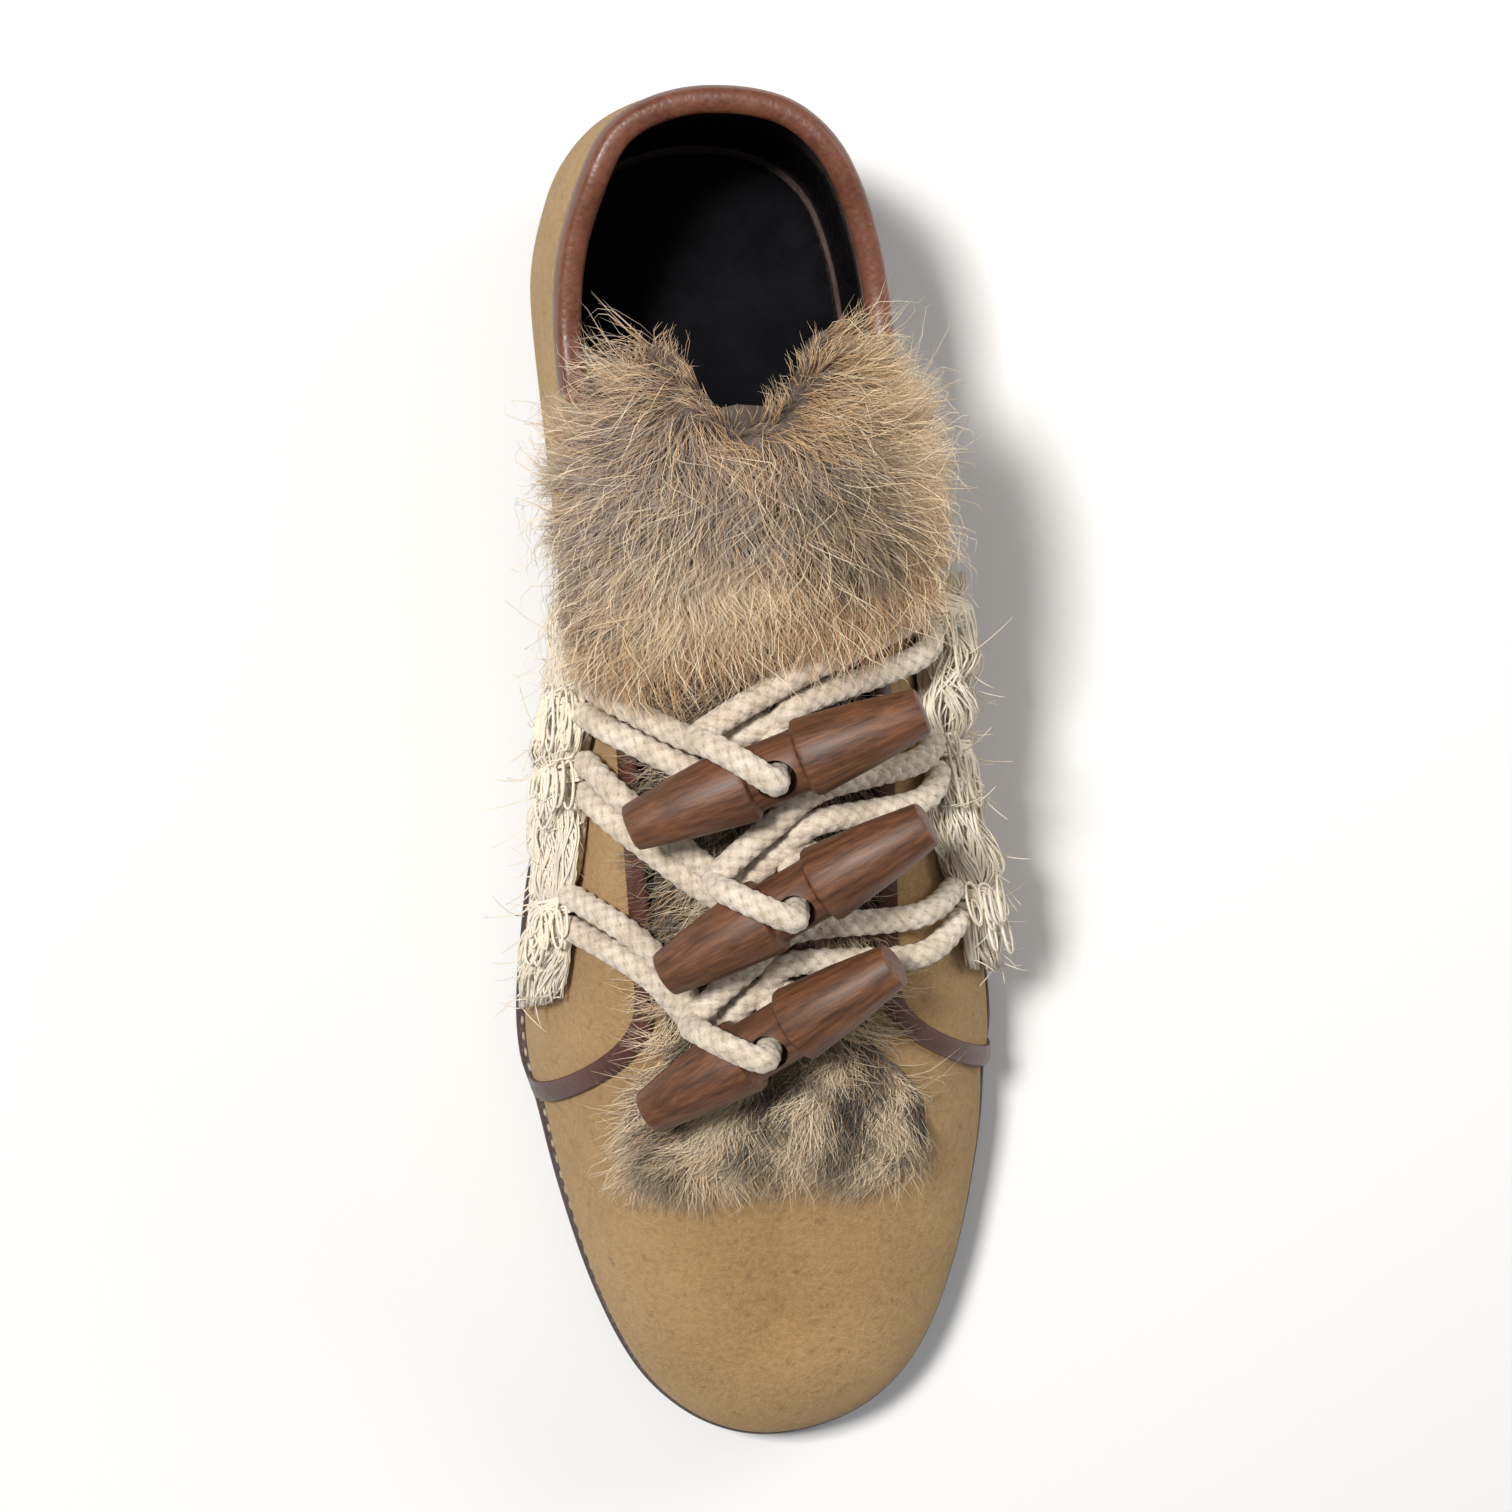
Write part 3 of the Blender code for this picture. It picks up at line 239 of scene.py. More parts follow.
@lru_cache(maxsize=None)
def tread(share):
    """Underside of the sole over the floor."""
    if share <= ARCH[0][-1]:
        return HEEL_LIFT * ease(*ARCH, share)
    if share <= SPRING_START:
        return 0.0
    return TOE_SPRING * ((share - SPRING_START) / (1 - SPRING_START)) ** SPRING_POWER


def base_height(share):
    return tread(share) + SOLE_THICKNESS + SEAT_GAP


def base_line(side, at):
    cut = section(at)
    half = BALL_WIDTH * (cut["lateral"] if side > 0 else cut["medial"])
    return Vector((side * half, HEEL_END - cut["foot"] * LENGTH, 0.0))


def base_out(side, at, out, height=0.0):
    """Point beside the base line, out from it in plan."""
    if at <= 0.0 or at >= 1.0:
        normal = Vector((0.0, 1.0 if at <= 0.0 else -1.0, 0.0))
    else:
        run = (base_line(side, min(at + PLAN_NUDGE, 1.0))
               - base_line(side, max(at - PLAN_NUDGE, 0.0)))
        normal = (Vector((-run.y, run.x, 0.0)) * side).normalized()
    place = base_line(side, at) + normal * out
    return Vector((place.x, place.y, height))


def form(side, at, v):
    """Point on the last's surface."""
    cut = section(at)
    square = cut["square_lateral"] if side > 0 else cut["square_medial"]
    turn = unit(v) * pi / 2
    inward = 1 - max(cos(turn), 0.0) ** (2 / square)
    rise = sin(turn) ** (2 / square)
    foot = base_line(side, at)
    crest = Vector((CREST_OFFSET, HEEL_END - cut["crest"] * LENGTH, 0.0))
    reach = foot - crest
    swell = cut["belly"] * BALL_WIDTH * sin(pi * sqrt(rise))
    point = crest + reach * (1 - inward) + reach.normalized() * swell
    low = base_height(cut["foot"])
    point.z = low + (INSTEP_HEIGHT * cut["height"] - low) * rise
    return point


def skin_axes(side, at, v):
    """Directions on the form: towards the heel, up the wall and out of it."""
    nudge = NORMAL_NUDGE
    heelward = form(side, max(at - nudge, 0.0), v) - form(side, min(at + nudge, 1.0), v)
    upward = form(side, at, min(v + nudge, 1.0)) - form(side, at, max(v - nudge, 0.0))
    heelward.normalize()
    upward.normalize()
    if at <= 0.0:
        out = Vector((0.0, upward.z, -upward.y))
    elif at >= 1.0:
        out = Vector((0.0, -upward.z, upward.y))
    elif v >= 1.0:
        out = Vector((0.0, -heelward.z, heelward.y))
    else:
        out = heelward.cross(upward) * side
    return heelward, upward, out.normalized()


def skin(side, at, v, lift):
    """Point over the form, lifted off it."""
    return form(side, at, v) + skin_axes(side, at, v)[2] * lift


def v_where(side, at, passed):
    """Lowest v of a section that has passed a limit."""
    low = 0.0
    high = 1.0
    for _ in range(HALVINGS):
        middle = (low + high) / 2
        if passed(form(side, at, middle)):
            high = middle
        else:
            low = middle
    return high


def v_at_half(side, at, half):
    return v_where(side, at, lambda p: (p.x - CREST_OFFSET) * side <= half)


def v_at_height(side, at, height):
    return v_where(side, at, lambda p: p.z >= height)


@lru_cache(maxsize=None)
def edge_v(side, at):
    """Where the felt ends: at the top line, else at the throat's side."""
    share = foot_share(at)
    if share < THROAT_TOP - 1e-6:
        return v_at_height(side, at, COLLAR_HEIGHT * ease(*TOP_LINE, share))
    return v_at_half(side, min(at, FRONT_AT), THROAT[side])


CREST_STATIONS = np.linspace(0.0, 1.0, 800)
CREST_SHARES = np.array([section(float(at))["crest"] for at in CREST_STATIONS])


def crest_station(share):
    """Station whose section meets the crest at a share of the length."""
    return float(np.interp(share, CREST_SHARES, CREST_STATIONS))


def shell(columns, rows, place, levels=()):
    """Grid laid by place(i, j), or a closed body between two levels, by place(i, j, level)."""
    body = bmesh.new()
    uv = body.loops.layers.uv.new("laid")
    bmesh.ops.create_grid(body, x_segments=columns, y_segments=rows, size=0.5)
    corner = body.verts.layers.float_vector.new("corner")
    for vert in body.verts:
        vert[corner] = Vector((round((vert.co.x + 0.5) * columns),
                               round((vert.co.y + 0.5) * rows), 0.0))
    for face in body.faces:
        for loop in face.loops:
            loop[uv].uv = (loop.vert.co.x + 0.5, loop.vert.co.y + 0.5)
    for vert in body.verts:
        vert.co = place(int(vert[corner].x), int(vert[corner].y), *levels[:1])
    bmesh.ops.remove_doubles(body, verts=body.verts, dist=2e-5)
    if levels:
        drawn = bmesh.ops.extrude_face_region(body, geom=body.faces[:])
        for vert in drawn["geom"]:
            if isinstance(vert, bmesh.types.BMVert):
                vert.co = place(int(vert[corner].x), int(vert[corner].y), levels[1])
    bmesh.ops.remove_doubles(body, verts=body.verts, dist=2e-6)
    bmesh.ops.recalc_face_normals(body, faces=body.faces)
    return body


ALL_SMOOTH = 180.0


def add_piece(name, body, finish, stands_for=(), sharp=40.0):
    """Object from a bmesh or a mesh, riding on the shoe."""
    mesh = mesh_of(name, body) if isinstance(body, bmesh.types.BMesh) else body
    mesh.shade_smooth()
    mesh.set_sharp_from_angle(angle=radians(sharp))
    mesh.materials.clear()
    mesh.materials.append(finish)
    piece = set_down(name, mesh)
    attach(piece, "root")
    if stands_for:
        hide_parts(*stands_for)
    return piece


# Outsole and insole
# The sole is stained leather, cut level with the welt and left bare below. The sock inside
# is thin black leather over the insole board.
WELT_LEDGE = 0.0030
HEEL_LEDGE = 0.0016
QUARTER_STEP = 0.0012
WALL = 0.0028
INSOLE_GAP = 0.0011
INSOLE_THICKNESS = 0.0030


def new_group(name, inputs, outputs):
    """Shader group with named sockets: its tree and its two end nodes."""
    group = bpy.data.node_groups.new(name, "ShaderNodeTree")
    for key, kind, value in inputs:
        socket = group.interface.new_socket(key, in_out="INPUT", socket_type=kind)
        if value is not None:
            socket.default_value = value
    for key, kind in outputs:
        group.interface.new_socket(key, in_out="OUTPUT", socket_type=kind)
    return group, add(group, "NodeGroupInput"), add(group, "NodeGroupOutput")


def object_place(tree):
    return add(tree, "ShaderNodeTexCoord").outputs["Object"]


def noise_of(tree, place, scale, detail, roughness=0.5, distortion=0.0):
    made = add(tree, "ShaderNodeTexNoise", {"Vector": place, "Scale": scale, "Detail": detail,
               "Roughness": roughness, "Distortion": distortion})
    return made.outputs["Fac"]


def ranged(tree, value, low, high, to_low=0.0, to_high=1.0):
    made = add(tree, "ShaderNodeMapRange", {"Value": value, "From Min": low, "From Max": high,
               "To Min": to_low, "To Max": to_high})
    return made.outputs["Result"]


def tone_of(tree, share, first, second):
    """Colour between two, by a share of the second."""
    made = add(tree, "ShaderNodeMix", {0: share, 6: first, 7: second}, data_type="RGBA")
    return made.outputs[2]


def raised(tree, height, distance, strength=1.0, over=None):
    """Normal bumped by a height, over another normal where one is given."""
    inputs = {"Height": height, "Distance": distance, "Strength": strength}
    if over:
        inputs["Normal"] = over
    return add(tree, "ShaderNodeBump", inputs).outputs["Normal"]


def wire(tree, end, **sockets):
    """Links each socket to the input that it is named after."""
    for key, socket in sockets.items():
        tree.links.new(socket, end.inputs[key.replace("_", " ")])


# Blotches and specks between a dark and a light colour, with the height of the specks
mottle, given, result = new_group(
    "mottle",
    [("Place", "NodeSocketVector", None), ("Blotch", "NodeSocketFloat", 60.0),
     ("Speck", "NodeSocketFloat", 900.0), ("Dark", "NodeSocketColor", None),
     ("Light", "NodeSocketColor", None), ("Speck Share", "NodeSocketFloat", 0.5)],
    [("Color", "NodeSocketColor"), ("Height", "NodeSocketFloat")])
blotch = noise_of(mottle, given.outputs["Place"], given.outputs["Blotch"], 3.0, 0.55)
speck = noise_of(mottle, given.outputs["Place"], given.outputs["Speck"], 4.0, 0.65)
blend = add(mottle, "ShaderNodeMix", {"Factor": given.outputs["Speck Share"], "A": blotch,
            "B": speck})
contrast = ranged(mottle, blend.outputs["Result"], 0.36, 0.64)
wire(mottle, result, Height=speck,
     Color=tone_of(mottle, contrast, given.outputs["Dark"], given.outputs["Light"]))


def mottled(tree, place, blotch_scale, speck_scale, dark, light, speck_share):
    """Colour and height of a mottled surface."""
    made = add(tree, "ShaderNodeGroup", {"Place": place, "Blotch": blotch_scale,
               "Speck": speck_scale, "Dark": (*dark, 1.0), "Light": (*light, 1.0),
               "Speck Share": speck_share}, node_tree=mottle)
    return made.outputs["Color"], made.outputs["Height"]


# Rounded pebbles, as leather's grain, given as a bumped normal
pebbled, given, result = new_group(
    "pebbled",
    [("Place", "NodeSocketVector", None), ("Grain", "NodeSocketFloat", 900.0),
     ("Depth", "NodeSocketFloat", 0.00015)],
    [("Normal", "NodeSocketVector")])
cells = add(pebbled, "ShaderNodeTexVoronoi", {"Vector": given.outputs["Place"],
            "Scale": given.outputs["Grain"]}, feature="SMOOTH_F1")
wire(pebbled, result,
     Normal=raised(pebbled, cells.outputs["Distance"], given.outputs["Depth"], 0.7))


def leather(name, dark, light, roughness, grain=900.0, depth=0.00015, **sockets):
    """Stained leather: blotchy colour, a fine pebbled grain and a little uneven gloss."""
    made, tree, shader = new_finish(name, **sockets)
    place = object_place(tree)
    colour, height = mottled(tree, place, 90.0, 700.0, dark, light, 0.4)
    pebbles = add(tree, "ShaderNodeGroup", {"Place": place, "Grain": grain, "Depth": depth},
                  node_tree=pebbled)
    wire(tree, shader, Base_Color=colour, Normal=pebbles.outputs["Normal"],
         Roughness=ranged(tree, height, 0.3, 0.7, roughness - 0.08, roughness + 0.08))
    return made


def speckled(name, scales, dark, light, speck_share, depth, **sockets):
    """Mottled material with its specks raised."""
    made, tree, shader = new_finish(name, **sockets)
    colour, height = mottled(tree, object_place(tree), *scales, dark, light, speck_share)
    wire(tree, shader, Base_Color=colour, Normal=raised(tree, height, depth))
    return made


sole_finish = leather("stained_sole", (0.030, 0.013, 0.008), (0.062, 0.027, 0.016), 0.55)
sock_finish = leather("black_sock", (0.003, 0.003, 0.004), (0.008, 0.008, 0.010), 0.62, 700.0,
                      0.00005, Specular_IOR_Level=0.03)


def ledge(share):
    """How far the welt stands out, narrower round the heel."""
    blend = unit((share - 0.20) / 0.22)
    return HEEL_LEDGE + (WELT_LEDGE - HEEL_LEDGE) * blend * blend * (3 - 2 * blend)


def step_out(share):
    """The quarters stand a step outside the vamp."""
    blend = unit((QUARTER_FRONT + 0.02 - share) / 0.03)
    return QUARTER_STEP * blend


def sole_out(share):
    return step_out(share) + ledge(share)


PLATE_COLUMNS = 120
PLATE_ROWS = 12


def plate(name, out_of, low, high, finish, stands_for, rim):
    """Plate within an outline, its rim eased over."""
    def place(i, j, height):
        at = 1 - i / PLATE_COLUMNS
        share = foot_share(at)
        inner = base_out(-1, at, out_of(share))
        spot = inner.lerp(base_out(1, at, out_of(share)), j / PLATE_ROWS)
        spot.z = height(share)
        return spot

    body = shell(PLATE_COLUMNS, PLATE_ROWS, place, (low, high))
    edges = [e for e in body.edges if len(e.link_faces) == 2 and e.calc_face_angle() > 1.2]
    bmesh.ops.bevel(body, geom=edges, offset=rim, segments=2, profile=0.5, material=-1,
                    affect="EDGES", clamp_overlap=True)
    return add_piece(name, body, finish, [stands_for], 50.0)


plate("sole_plate", sole_out, tread, lambda share: tread(share) + SOLE_THICKNESS, sole_finish,
      "outsole", 0.0007)
plate("sock", lambda share: -(WALL + INSOLE_GAP), base_height,
      lambda share: base_height(share) + INSOLE_THICKNESS, sock_finish, "insole",
      0.0006)


# Welt
# A strip of dark leather sewn round the foot of the upper. Pale lockstitches run along the
# middle of its top.
WELT_THICKNESS = 0.0028
WELT_COLUMNS = 400
WELT_PROFILE = [(0.0, 0.0), (1.0, 0.0), (1.0, 0.35), (1.0, 0.8), (0.86, 1.0), (0.5, 1.0),
                (0.0, 1.0)]      # across the ledge and up the strip, as shares of each
WELT_SWELL = 0.00025
STITCH_PITCH = 0.0036
STITCH_LENGTH = 0.72 * STITCH_PITCH
STITCH_THICKNESS = 0.0007
welt_finish = leather("dark_welt", (0.022, 0.009, 0.006), (0.052, 0.022, 0.014), 0.5)


def ring_place(turn, out_of, height):
    """Point round the base line: turn 0 and 1 at the toe, the outer side first."""
    at = abs(1 - 2 * turn)
    share = foot_share(at)
    return base_out(1 if turn <= 0.5 else -1, at, out_of(share), base_height(share) + height)


def welt_place(i, j):
    across, up = WELT_PROFILE[j % len(WELT_PROFILE)]
    swell = WELT_SWELL if up == 0.35 else 0.0

    def out_of(share):
        near = step_out(share) + FIT
        return near + (sole_out(share) - near) * across + swell
    return ring_place((i % WELT_COLUMNS) / WELT_COLUMNS, out_of, WELT_THICKNESS * up)


add_piece("welt_strip", shell(WELT_COLUMNS, len(WELT_PROFILE), welt_place), welt_finish,
          ["welt"], 50.0)

thread_finish = speckled("waxed_thread", (200.0, 2500.0), (0.30, 0.24, 0.17),
                         (0.52, 0.44, 0.33), 0.6, 0.0001, Roughness=0.6)


def sew(name, path, up, length, thick, finish):
    """Row of short stitches along a path, each a rounded pill sunk into the work."""
    body = bmesh.new()
    for start, end in zip(path, path[1:]):
        forward = (end - start).normalized()
        across = up.cross(forward).normalized()
        turn = Matrix((forward, across, forward.cross(across))).transposed().to_4x4()
        size = Matrix.Diagonal((length / 2, thick * 0.62, thick * 0.55, 1.0))
        spot = Matrix.Translation((start + end) / 2)
        bmesh.ops.create_icosphere(body, subdivisions=1, radius=1.0, matrix=spot @ turn @ size)
    return add_piece(name, body, finish, sharp=ALL_SMOOTH)


def even_path(points, spacing):
    """Evenly spaced points along a line of points."""
    lengths = [0.0]
    for i in range(1, len(points)):
        lengths.append(lengths[-1] + (points[i] - points[i - 1]).length)
    count = max(int(round(lengths[-1] / spacing)), 2)
    path = []
    at = 0
    for k in range(count + 1):
        goal = lengths[-1] * k / count
        while at < len(points) - 2 and lengths[at + 1] < goal:
            at += 1
        span = max(lengths[at + 1] - lengths[at], 1e-9)
        path.append(points[at].lerp(points[at + 1], (goal - lengths[at]) / span))
    return path


welt_line = [ring_place(k / 900, lambda share: step_out(share) + 0.55 * ledge(share) + 0.0002,
                        WELT_THICKNESS + 0.00005) for k in range(901)]
sew("welt_stitches", even_path(welt_line, STITCH_PITCH), Vector((0, 0, 1)), STITCH_LENGTH,
    STITCH_THICKNESS, thread_finish)


# Heel
# Layers of stained leather glued up and turned to shape, on a harder top piece. The seams
# between the layers show as fine lines round its side.
HEEL_BREAST = 0.265
HEEL_TUCK = 0.0008
HEEL_TAPER = 0.0015
HEEL_HOLLOW = 0.004
HEEL_SEAMS = (0.0045, 0.0092, 0.0139)
SEAM_HALF = 0.00022
SEAM_DEPTH = 0.00028
HEEL_EDGE = 0.0008
HEEL_TURNS = 120
BREAST_TURNS = 24
heel_finish = leather("stacked_layers", (0.024, 0.010, 0.007), (0.060, 0.026, 0.016), 0.45)

breast_at = station(HEEL_BREAST)
heel_levels = [0.0, HEEL_EDGE]
for seam in HEEL_SEAMS:
    heel_levels += [seam - SEAM_HALF, seam, seam + SEAM_HALF]
heel_levels.append(HEEL_LIFT - FIT)


def heel_ring(k, inset):
    """Point round the heel: its curved side, then back across the hollowed breast."""
    out = QUARTER_STEP + HEEL_LEDGE - HEEL_TUCK - inset
    if k <= HEEL_TURNS:
        turn = k / HEEL_TURNS
        return base_out(1 if turn <= 0.5 else -1, breast_at * abs(1 - 2 * turn), out)
    t = (k - HEEL_TURNS) / BREAST_TURNS
    spot = base_out(-1, breast_at, out).lerp(base_out(1, breast_at, out), t)
    spot.y += HEEL_HOLLOW * 4 * t * (1 - t)
    return spot


def heel_place(i, j):
    height = heel_levels[j]
    groove = SEAM_DEPTH if height in HEEL_SEAMS else 0.0
    edge = HEEL_EDGE if j == 0 else 0.0
    inset = HEEL_TAPER * (1 - height / HEEL_LIFT) + groove + edge
    spot = heel_ring(i % (HEEL_TURNS + BREAST_TURNS), inset)
    spot.z = height
    return spot


heel_body = shell(HEEL_TURNS + BREAST_TURNS, len(heel_levels) - 1, heel_place)
rims = [e for e in heel_body.edges if e.is_boundary]
bmesh.ops.holes_fill(heel_body, edges=rims, sides=0)
bmesh.ops.recalc_face_normals(heel_body, faces=heel_body.faces)
add_piece("heel_stack", heel_body, heel_finish, ["heel"], 35.0)


# Felt upper
# Thick camel wool felt, cut as a plain vamp and two quarters that lap over it, and drawn
# over the last. The nap is short and mottled, and the felt is softly dented by wear.
FELT = 0.0016
VAMP_COLUMNS = 72
VAMP_ROWS = 92
THROAT_COLUMNS = 50
COLLAR_COLUMNS = 48
QUARTER_ROWS = 34
VAMP_LAP = 0.03
FRONT_BOW = 0.0050
CORNER_CUT = 0.010
BOW_COLUMNS = 16
TOE_TOP_COLUMNS = 22            # columns from the toe that are pulled smooth over its top
TOE_TOP_REACH = 0.50
TOE_SMOOTHING = 60

felt_finish, tree, shader = new_finish("camel_wool_felt", Roughness=0.95, Sheen_Weight=0.25,
                                       Sheen_Roughness=0.6, Specular_IOR_Level=0.2)
shader.inputs["Sheen Tint"].default_value = (1.0, 0.86, 0.62, 1.0)
place = object_place(tree)
nap, nap_height = mottled(tree, place, 40.0, 800.0, (0.355, 0.210, 0.082),
                          (0.495, 0.310, 0.138), 0.60)
flecks = ranged(tree, noise_of(tree, place, 360.0, 5.0, 0.7), 0.56, 0.72, 0.0, 0.68)
fibres = raised(tree, noise_of(tree, place, 2600.0, 3.0, 0.7, 0.6), 0.0005, 0.8)
wire(tree, shader, Base_Color=tone_of(tree, flecks, nap, (0.20, 0.105, 0.045, 1.0)),
     Normal=raised(tree, nap_height, 0.0006, 0.7, fibres))

# Troughs and ridges: side, middle as share along and height over the floor,
# half length, half width, tilt of the run in degrees, depth
DENTS = [
    (1, 0.625, 0.040, 0.014, 0.0065, 62, 0.0011),
    (1, 0.655, 0.034, 0.010, 0.0040, 70, -0.0007),
    (1, 0.575, 0.046, 0.020, 0.0080, 20, 0.0008),
    (1, 0.430, 0.060, 0.024, 0.0060, 35, 0.0009),
    (1, 0.300, 0.058, 0.020, 0.0060, -30, 0.0008),
    (1, 0.185, 0.050, 0.022, 0.0050, -12, 0.0007),
    (-1, 0.640, 0.038, 0.014, 0.0060, 60, 0.0010),
    (-1, 0.560, 0.050, 0.022, 0.0060, 22, 0.0009),
    (-1, 0.440, 0.062, 0.024, 0.0055, 35, 0.0009),
    (-1, 0.310, 0.058, 0.020, 0.0060, -30, 0.0008),
    (-1, 0.190, 0.050, 0.022, 0.0050, -12, 0.0007),
    (1, 0.735, 0.026, 0.012, 0.0045, 75, 0.0006),
    (-1, 0.735, 0.026, 0.012, 0.0045, 75, 0.0006),
]


def dented(side, share, height):
    """How far the felt sinks, in metres, at a place on one side."""
    depth = 0.0
    for dent_side, middle, level, run, width, tilt, sink in DENTS:
        if dent_side != side:
            continue
        along = (share - middle) * LENGTH
        up = height - level
        turn = radians(tilt)
        a = (along * cos(turn) + up * sin(turn)) / run
        b = (up * cos(turn) - along * sin(turn)) / width
        depth += sink * exp(-a * a - b * b)
    return depth


def across_row(j, rows):
    """Side of the crest that a row lies on, and its distance from it, 1 at the edge."""
    q = 2 * j / rows - 1
    return (1 if q >= 0 else -1), abs(q)


def vamp_place(i, j, inset):
    at = 1 - (1 - FRONT_AT + VAMP_LAP) * i / VAMP_COLUMNS
    side, q = across_row(j, VAMP_ROWS)
    v = 1 - q
    sink = dented(side, foot_share(at), form(side, at, v).z) * (1 - v)
    return skin(side, at, v, -inset - sink)


vamp = shell(VAMP_COLUMNS, VAMP_ROWS, vamp_place, (FELT, 0.0))
corner = vamp.verts.layers.float_vector["corner"]
toe_top = [vert for vert in vamp.verts if vert[corner].x <= TOE_TOP_COLUMNS
           and across_row(vert[corner].y, VAMP_ROWS)[1] < TOE_TOP_REACH]
for _ in range(TOE_SMOOTHING):
    bmesh.ops.smooth_vert(vamp, verts=toe_top, factor=0.5, use_axis_z=True)
add_piece("felt_vamp", vamp, felt_finish, ["upper"])

quarter_stations = [FRONT_AT - (FRONT_AT - TOP_AT) * k / THROAT_COLUMNS
                    for k in range(THROAT_COLUMNS)]
quarter_stations += [TOP_AT * (1 - k / COLLAR_COLUMNS) for k in range(COLLAR_COLUMNS + 1)]
quarter_columns = 2 * len(quarter_stations) - 2


def quarter_spot(i, rise):
    """Side, station and v of the quarters' grid, the front edge bowed towards the toe."""
    last = len(quarter_stations) - 1
    side = 1 if i <= last else -1
    k = i if side > 0 else quarter_columns - i
    at = quarter_stations[k]
    bow = FRONT_BOW * sin(pi * min(rise, 1.0) ** 0.75) - CORNER_CUT * rise**8
    at += bow * max(1 - k / BOW_COLUMNS, 0.0)
    return side, at, edge_v(side, at) * rise


def quarter_place(i, j, inset):
    side, at, v = quarter_spot(i, j / QUARTER_ROWS)
    sink = dented(side, foot_share(at), form(side, at, v).z)
    return skin(side, at, v, QUARTER_STEP - inset - sink)


add_piece("felt_quarters", shell(quarter_columns, QUARTER_ROWS, quarter_place, (FELT, 0.0)),
          felt_finish)


# Lining
# Glossy black leather glued inside the felt, from the sock up to the binding. A narrow
# mauve-grey tape shows along its top edge; its pale colour is partly a painted highlight
# of the glossy edge.
lining_finish = leather("black_lining", (0.0045, 0.0045, 0.006), (0.012, 0.011, 0.014), 0.20,
                        700.0, 0.00008, Coat_Weight=0.35, Coat_Roughness=0.12)


GLUE = 0.0001
QUARTER_LINING = 0.0005


def quarter_lining_place(i, j, lift):
    side, at, v = quarter_spot(2 * i, 2 * j / QUARTER_ROWS)
    return skin(side, at, v, QUARTER_STEP - WALL + lift)


def vamp_lining_place(i, j, inset):
    return vamp_place(2 * i, 2 * j, inset)


add_piece("quarter_lining", shell(quarter_columns // 2, QUARTER_ROWS // 2, quarter_lining_place,
                                  (GLUE, GLUE - QUARTER_LINING)), lining_finish)
add_piece("vamp_lining", shell(VAMP_COLUMNS // 2, VAMP_ROWS // 2, vamp_lining_place,
                               (WALL, FELT + GLUE)), lining_finish)


# Bindings
# Strips of soft brown leather folded over the collar's edge, and darker ones glued along
# each quarter's facing and front. A narrow tape is caught inside the collar; its pale
# mauve-grey is partly a painted highlight along the lining's glossy top edge.
BINDING = 0.0009
collar_finish = leather("brown_binding", (0.105, 0.034, 0.018), (0.200, 0.075, 0.042), 0.42,
                        1100.0, 0.00012)
quarter_finish = leather("dark_binding", (0.060, 0.020, 0.014), (0.110, 0.042, 0.030), 0.45,
                         1100.0, 0.00012)
collar_columns = 2 * COLLAR_COLUMNS
collar_first = THROAT_COLUMNS


def edge_axes(side, at, v):
    """Felt edge: its outer corner, the way on past the edge and the way out."""
    heelward, upward, out = skin_axes(side, at, v)
    return form(side, at, v) + out * QUARTER_STEP, upward, out


def rolled_profile(turns):
    """Closed section of leather folded over the felt, as outward and upward offsets."""
    thick = FIT + BINDING
    points = [(0.0003, -0.0037), (thick - 0.0001, -0.0032), (thick + 0.0001, -0.0016)]
    middle = -WALL / 2
    for k in range(turns + 1):
        angle = pi * k / turns
        points.append((middle + (WALL / 2 + thick) * cos(angle), 0.0017 * sin(angle)))
    points += [(-WALL - thick, -0.0016), (-WALL - thick + 0.0001, -0.0032),
               (-WALL - 0.0003, -0.0037)]
    return points


COLLAR_PROFILE = rolled_profile(8)
TAPE_SIDES = 8
TAPE_DEPTH = 0.00042
TAPE_HALF = 0.00075
TAPE_DROP = 0.0029
FACING_STEPS = 30
EDGE_PASSES = 10
INNER_RISE = 0.93               # a line on the felt beside the edge, to tell its inside
INNER_COLUMN = 4


def eased(points):
    """Line of points pulled smooth, its ends kept."""
    return (points[:1] + [(before + 2 * spot + after) / 4
                          for before, spot, after in zip(points, points[1:], points[2:])]
            + points[-1:])


def collar_place(i, j):
    side, at, v = quarter_spot(collar_first + i, 1.0)
    corner, upward, out = edge_axes(side, at, v)
    n, u = COLLAR_PROFILE[j % len(COLLAR_PROFILE)]
    return corner + out * n + upward * u


add_piece("collar_roll", shell(collar_columns, len(COLLAR_PROFILE), collar_place), collar_finish,
          ["collar_binding"], 60.0)

# Partly painted highlight: the tape's pale mauve-grey stands in part for the shine along the
# lining's glossy top edge
tape_and_highlight_finish = leather("collar_tape_and_highlight", (0.085, 0.060, 0.062), (0.170, 0.125, 0.125), 0.35)


def tape_place(i, j):
    side, at, v = quarter_spot(collar_first + i, 1.0)
    corner, upward, out = edge_axes(side, at, v)
    angle = 2 * pi * (j % TAPE_SIDES) / TAPE_SIDES
    n = -WALL - FIT - BINDING - 0.0001 + TAPE_DEPTH * cos(angle)
    return corner + out * n + upward * (-TAPE_DROP + TAPE_HALF * sin(angle))


add_piece("collar_tape_and_highlight", shell(collar_columns, TAPE_SIDES, tape_place), tape_and_highlight_finish)

EDGE_PROFILE = [(-0.0009, 0.0001), (-0.0007, 0.0008), (0.0006, 0.00105), (0.0020, 0.0010),
                (0.0031, 0.0007), (0.0037, 0.0001), (0.0036, -0.0007), (0.0026, -0.0011),
                (0.0002, -0.0011), (-0.0005, -0.0005)]


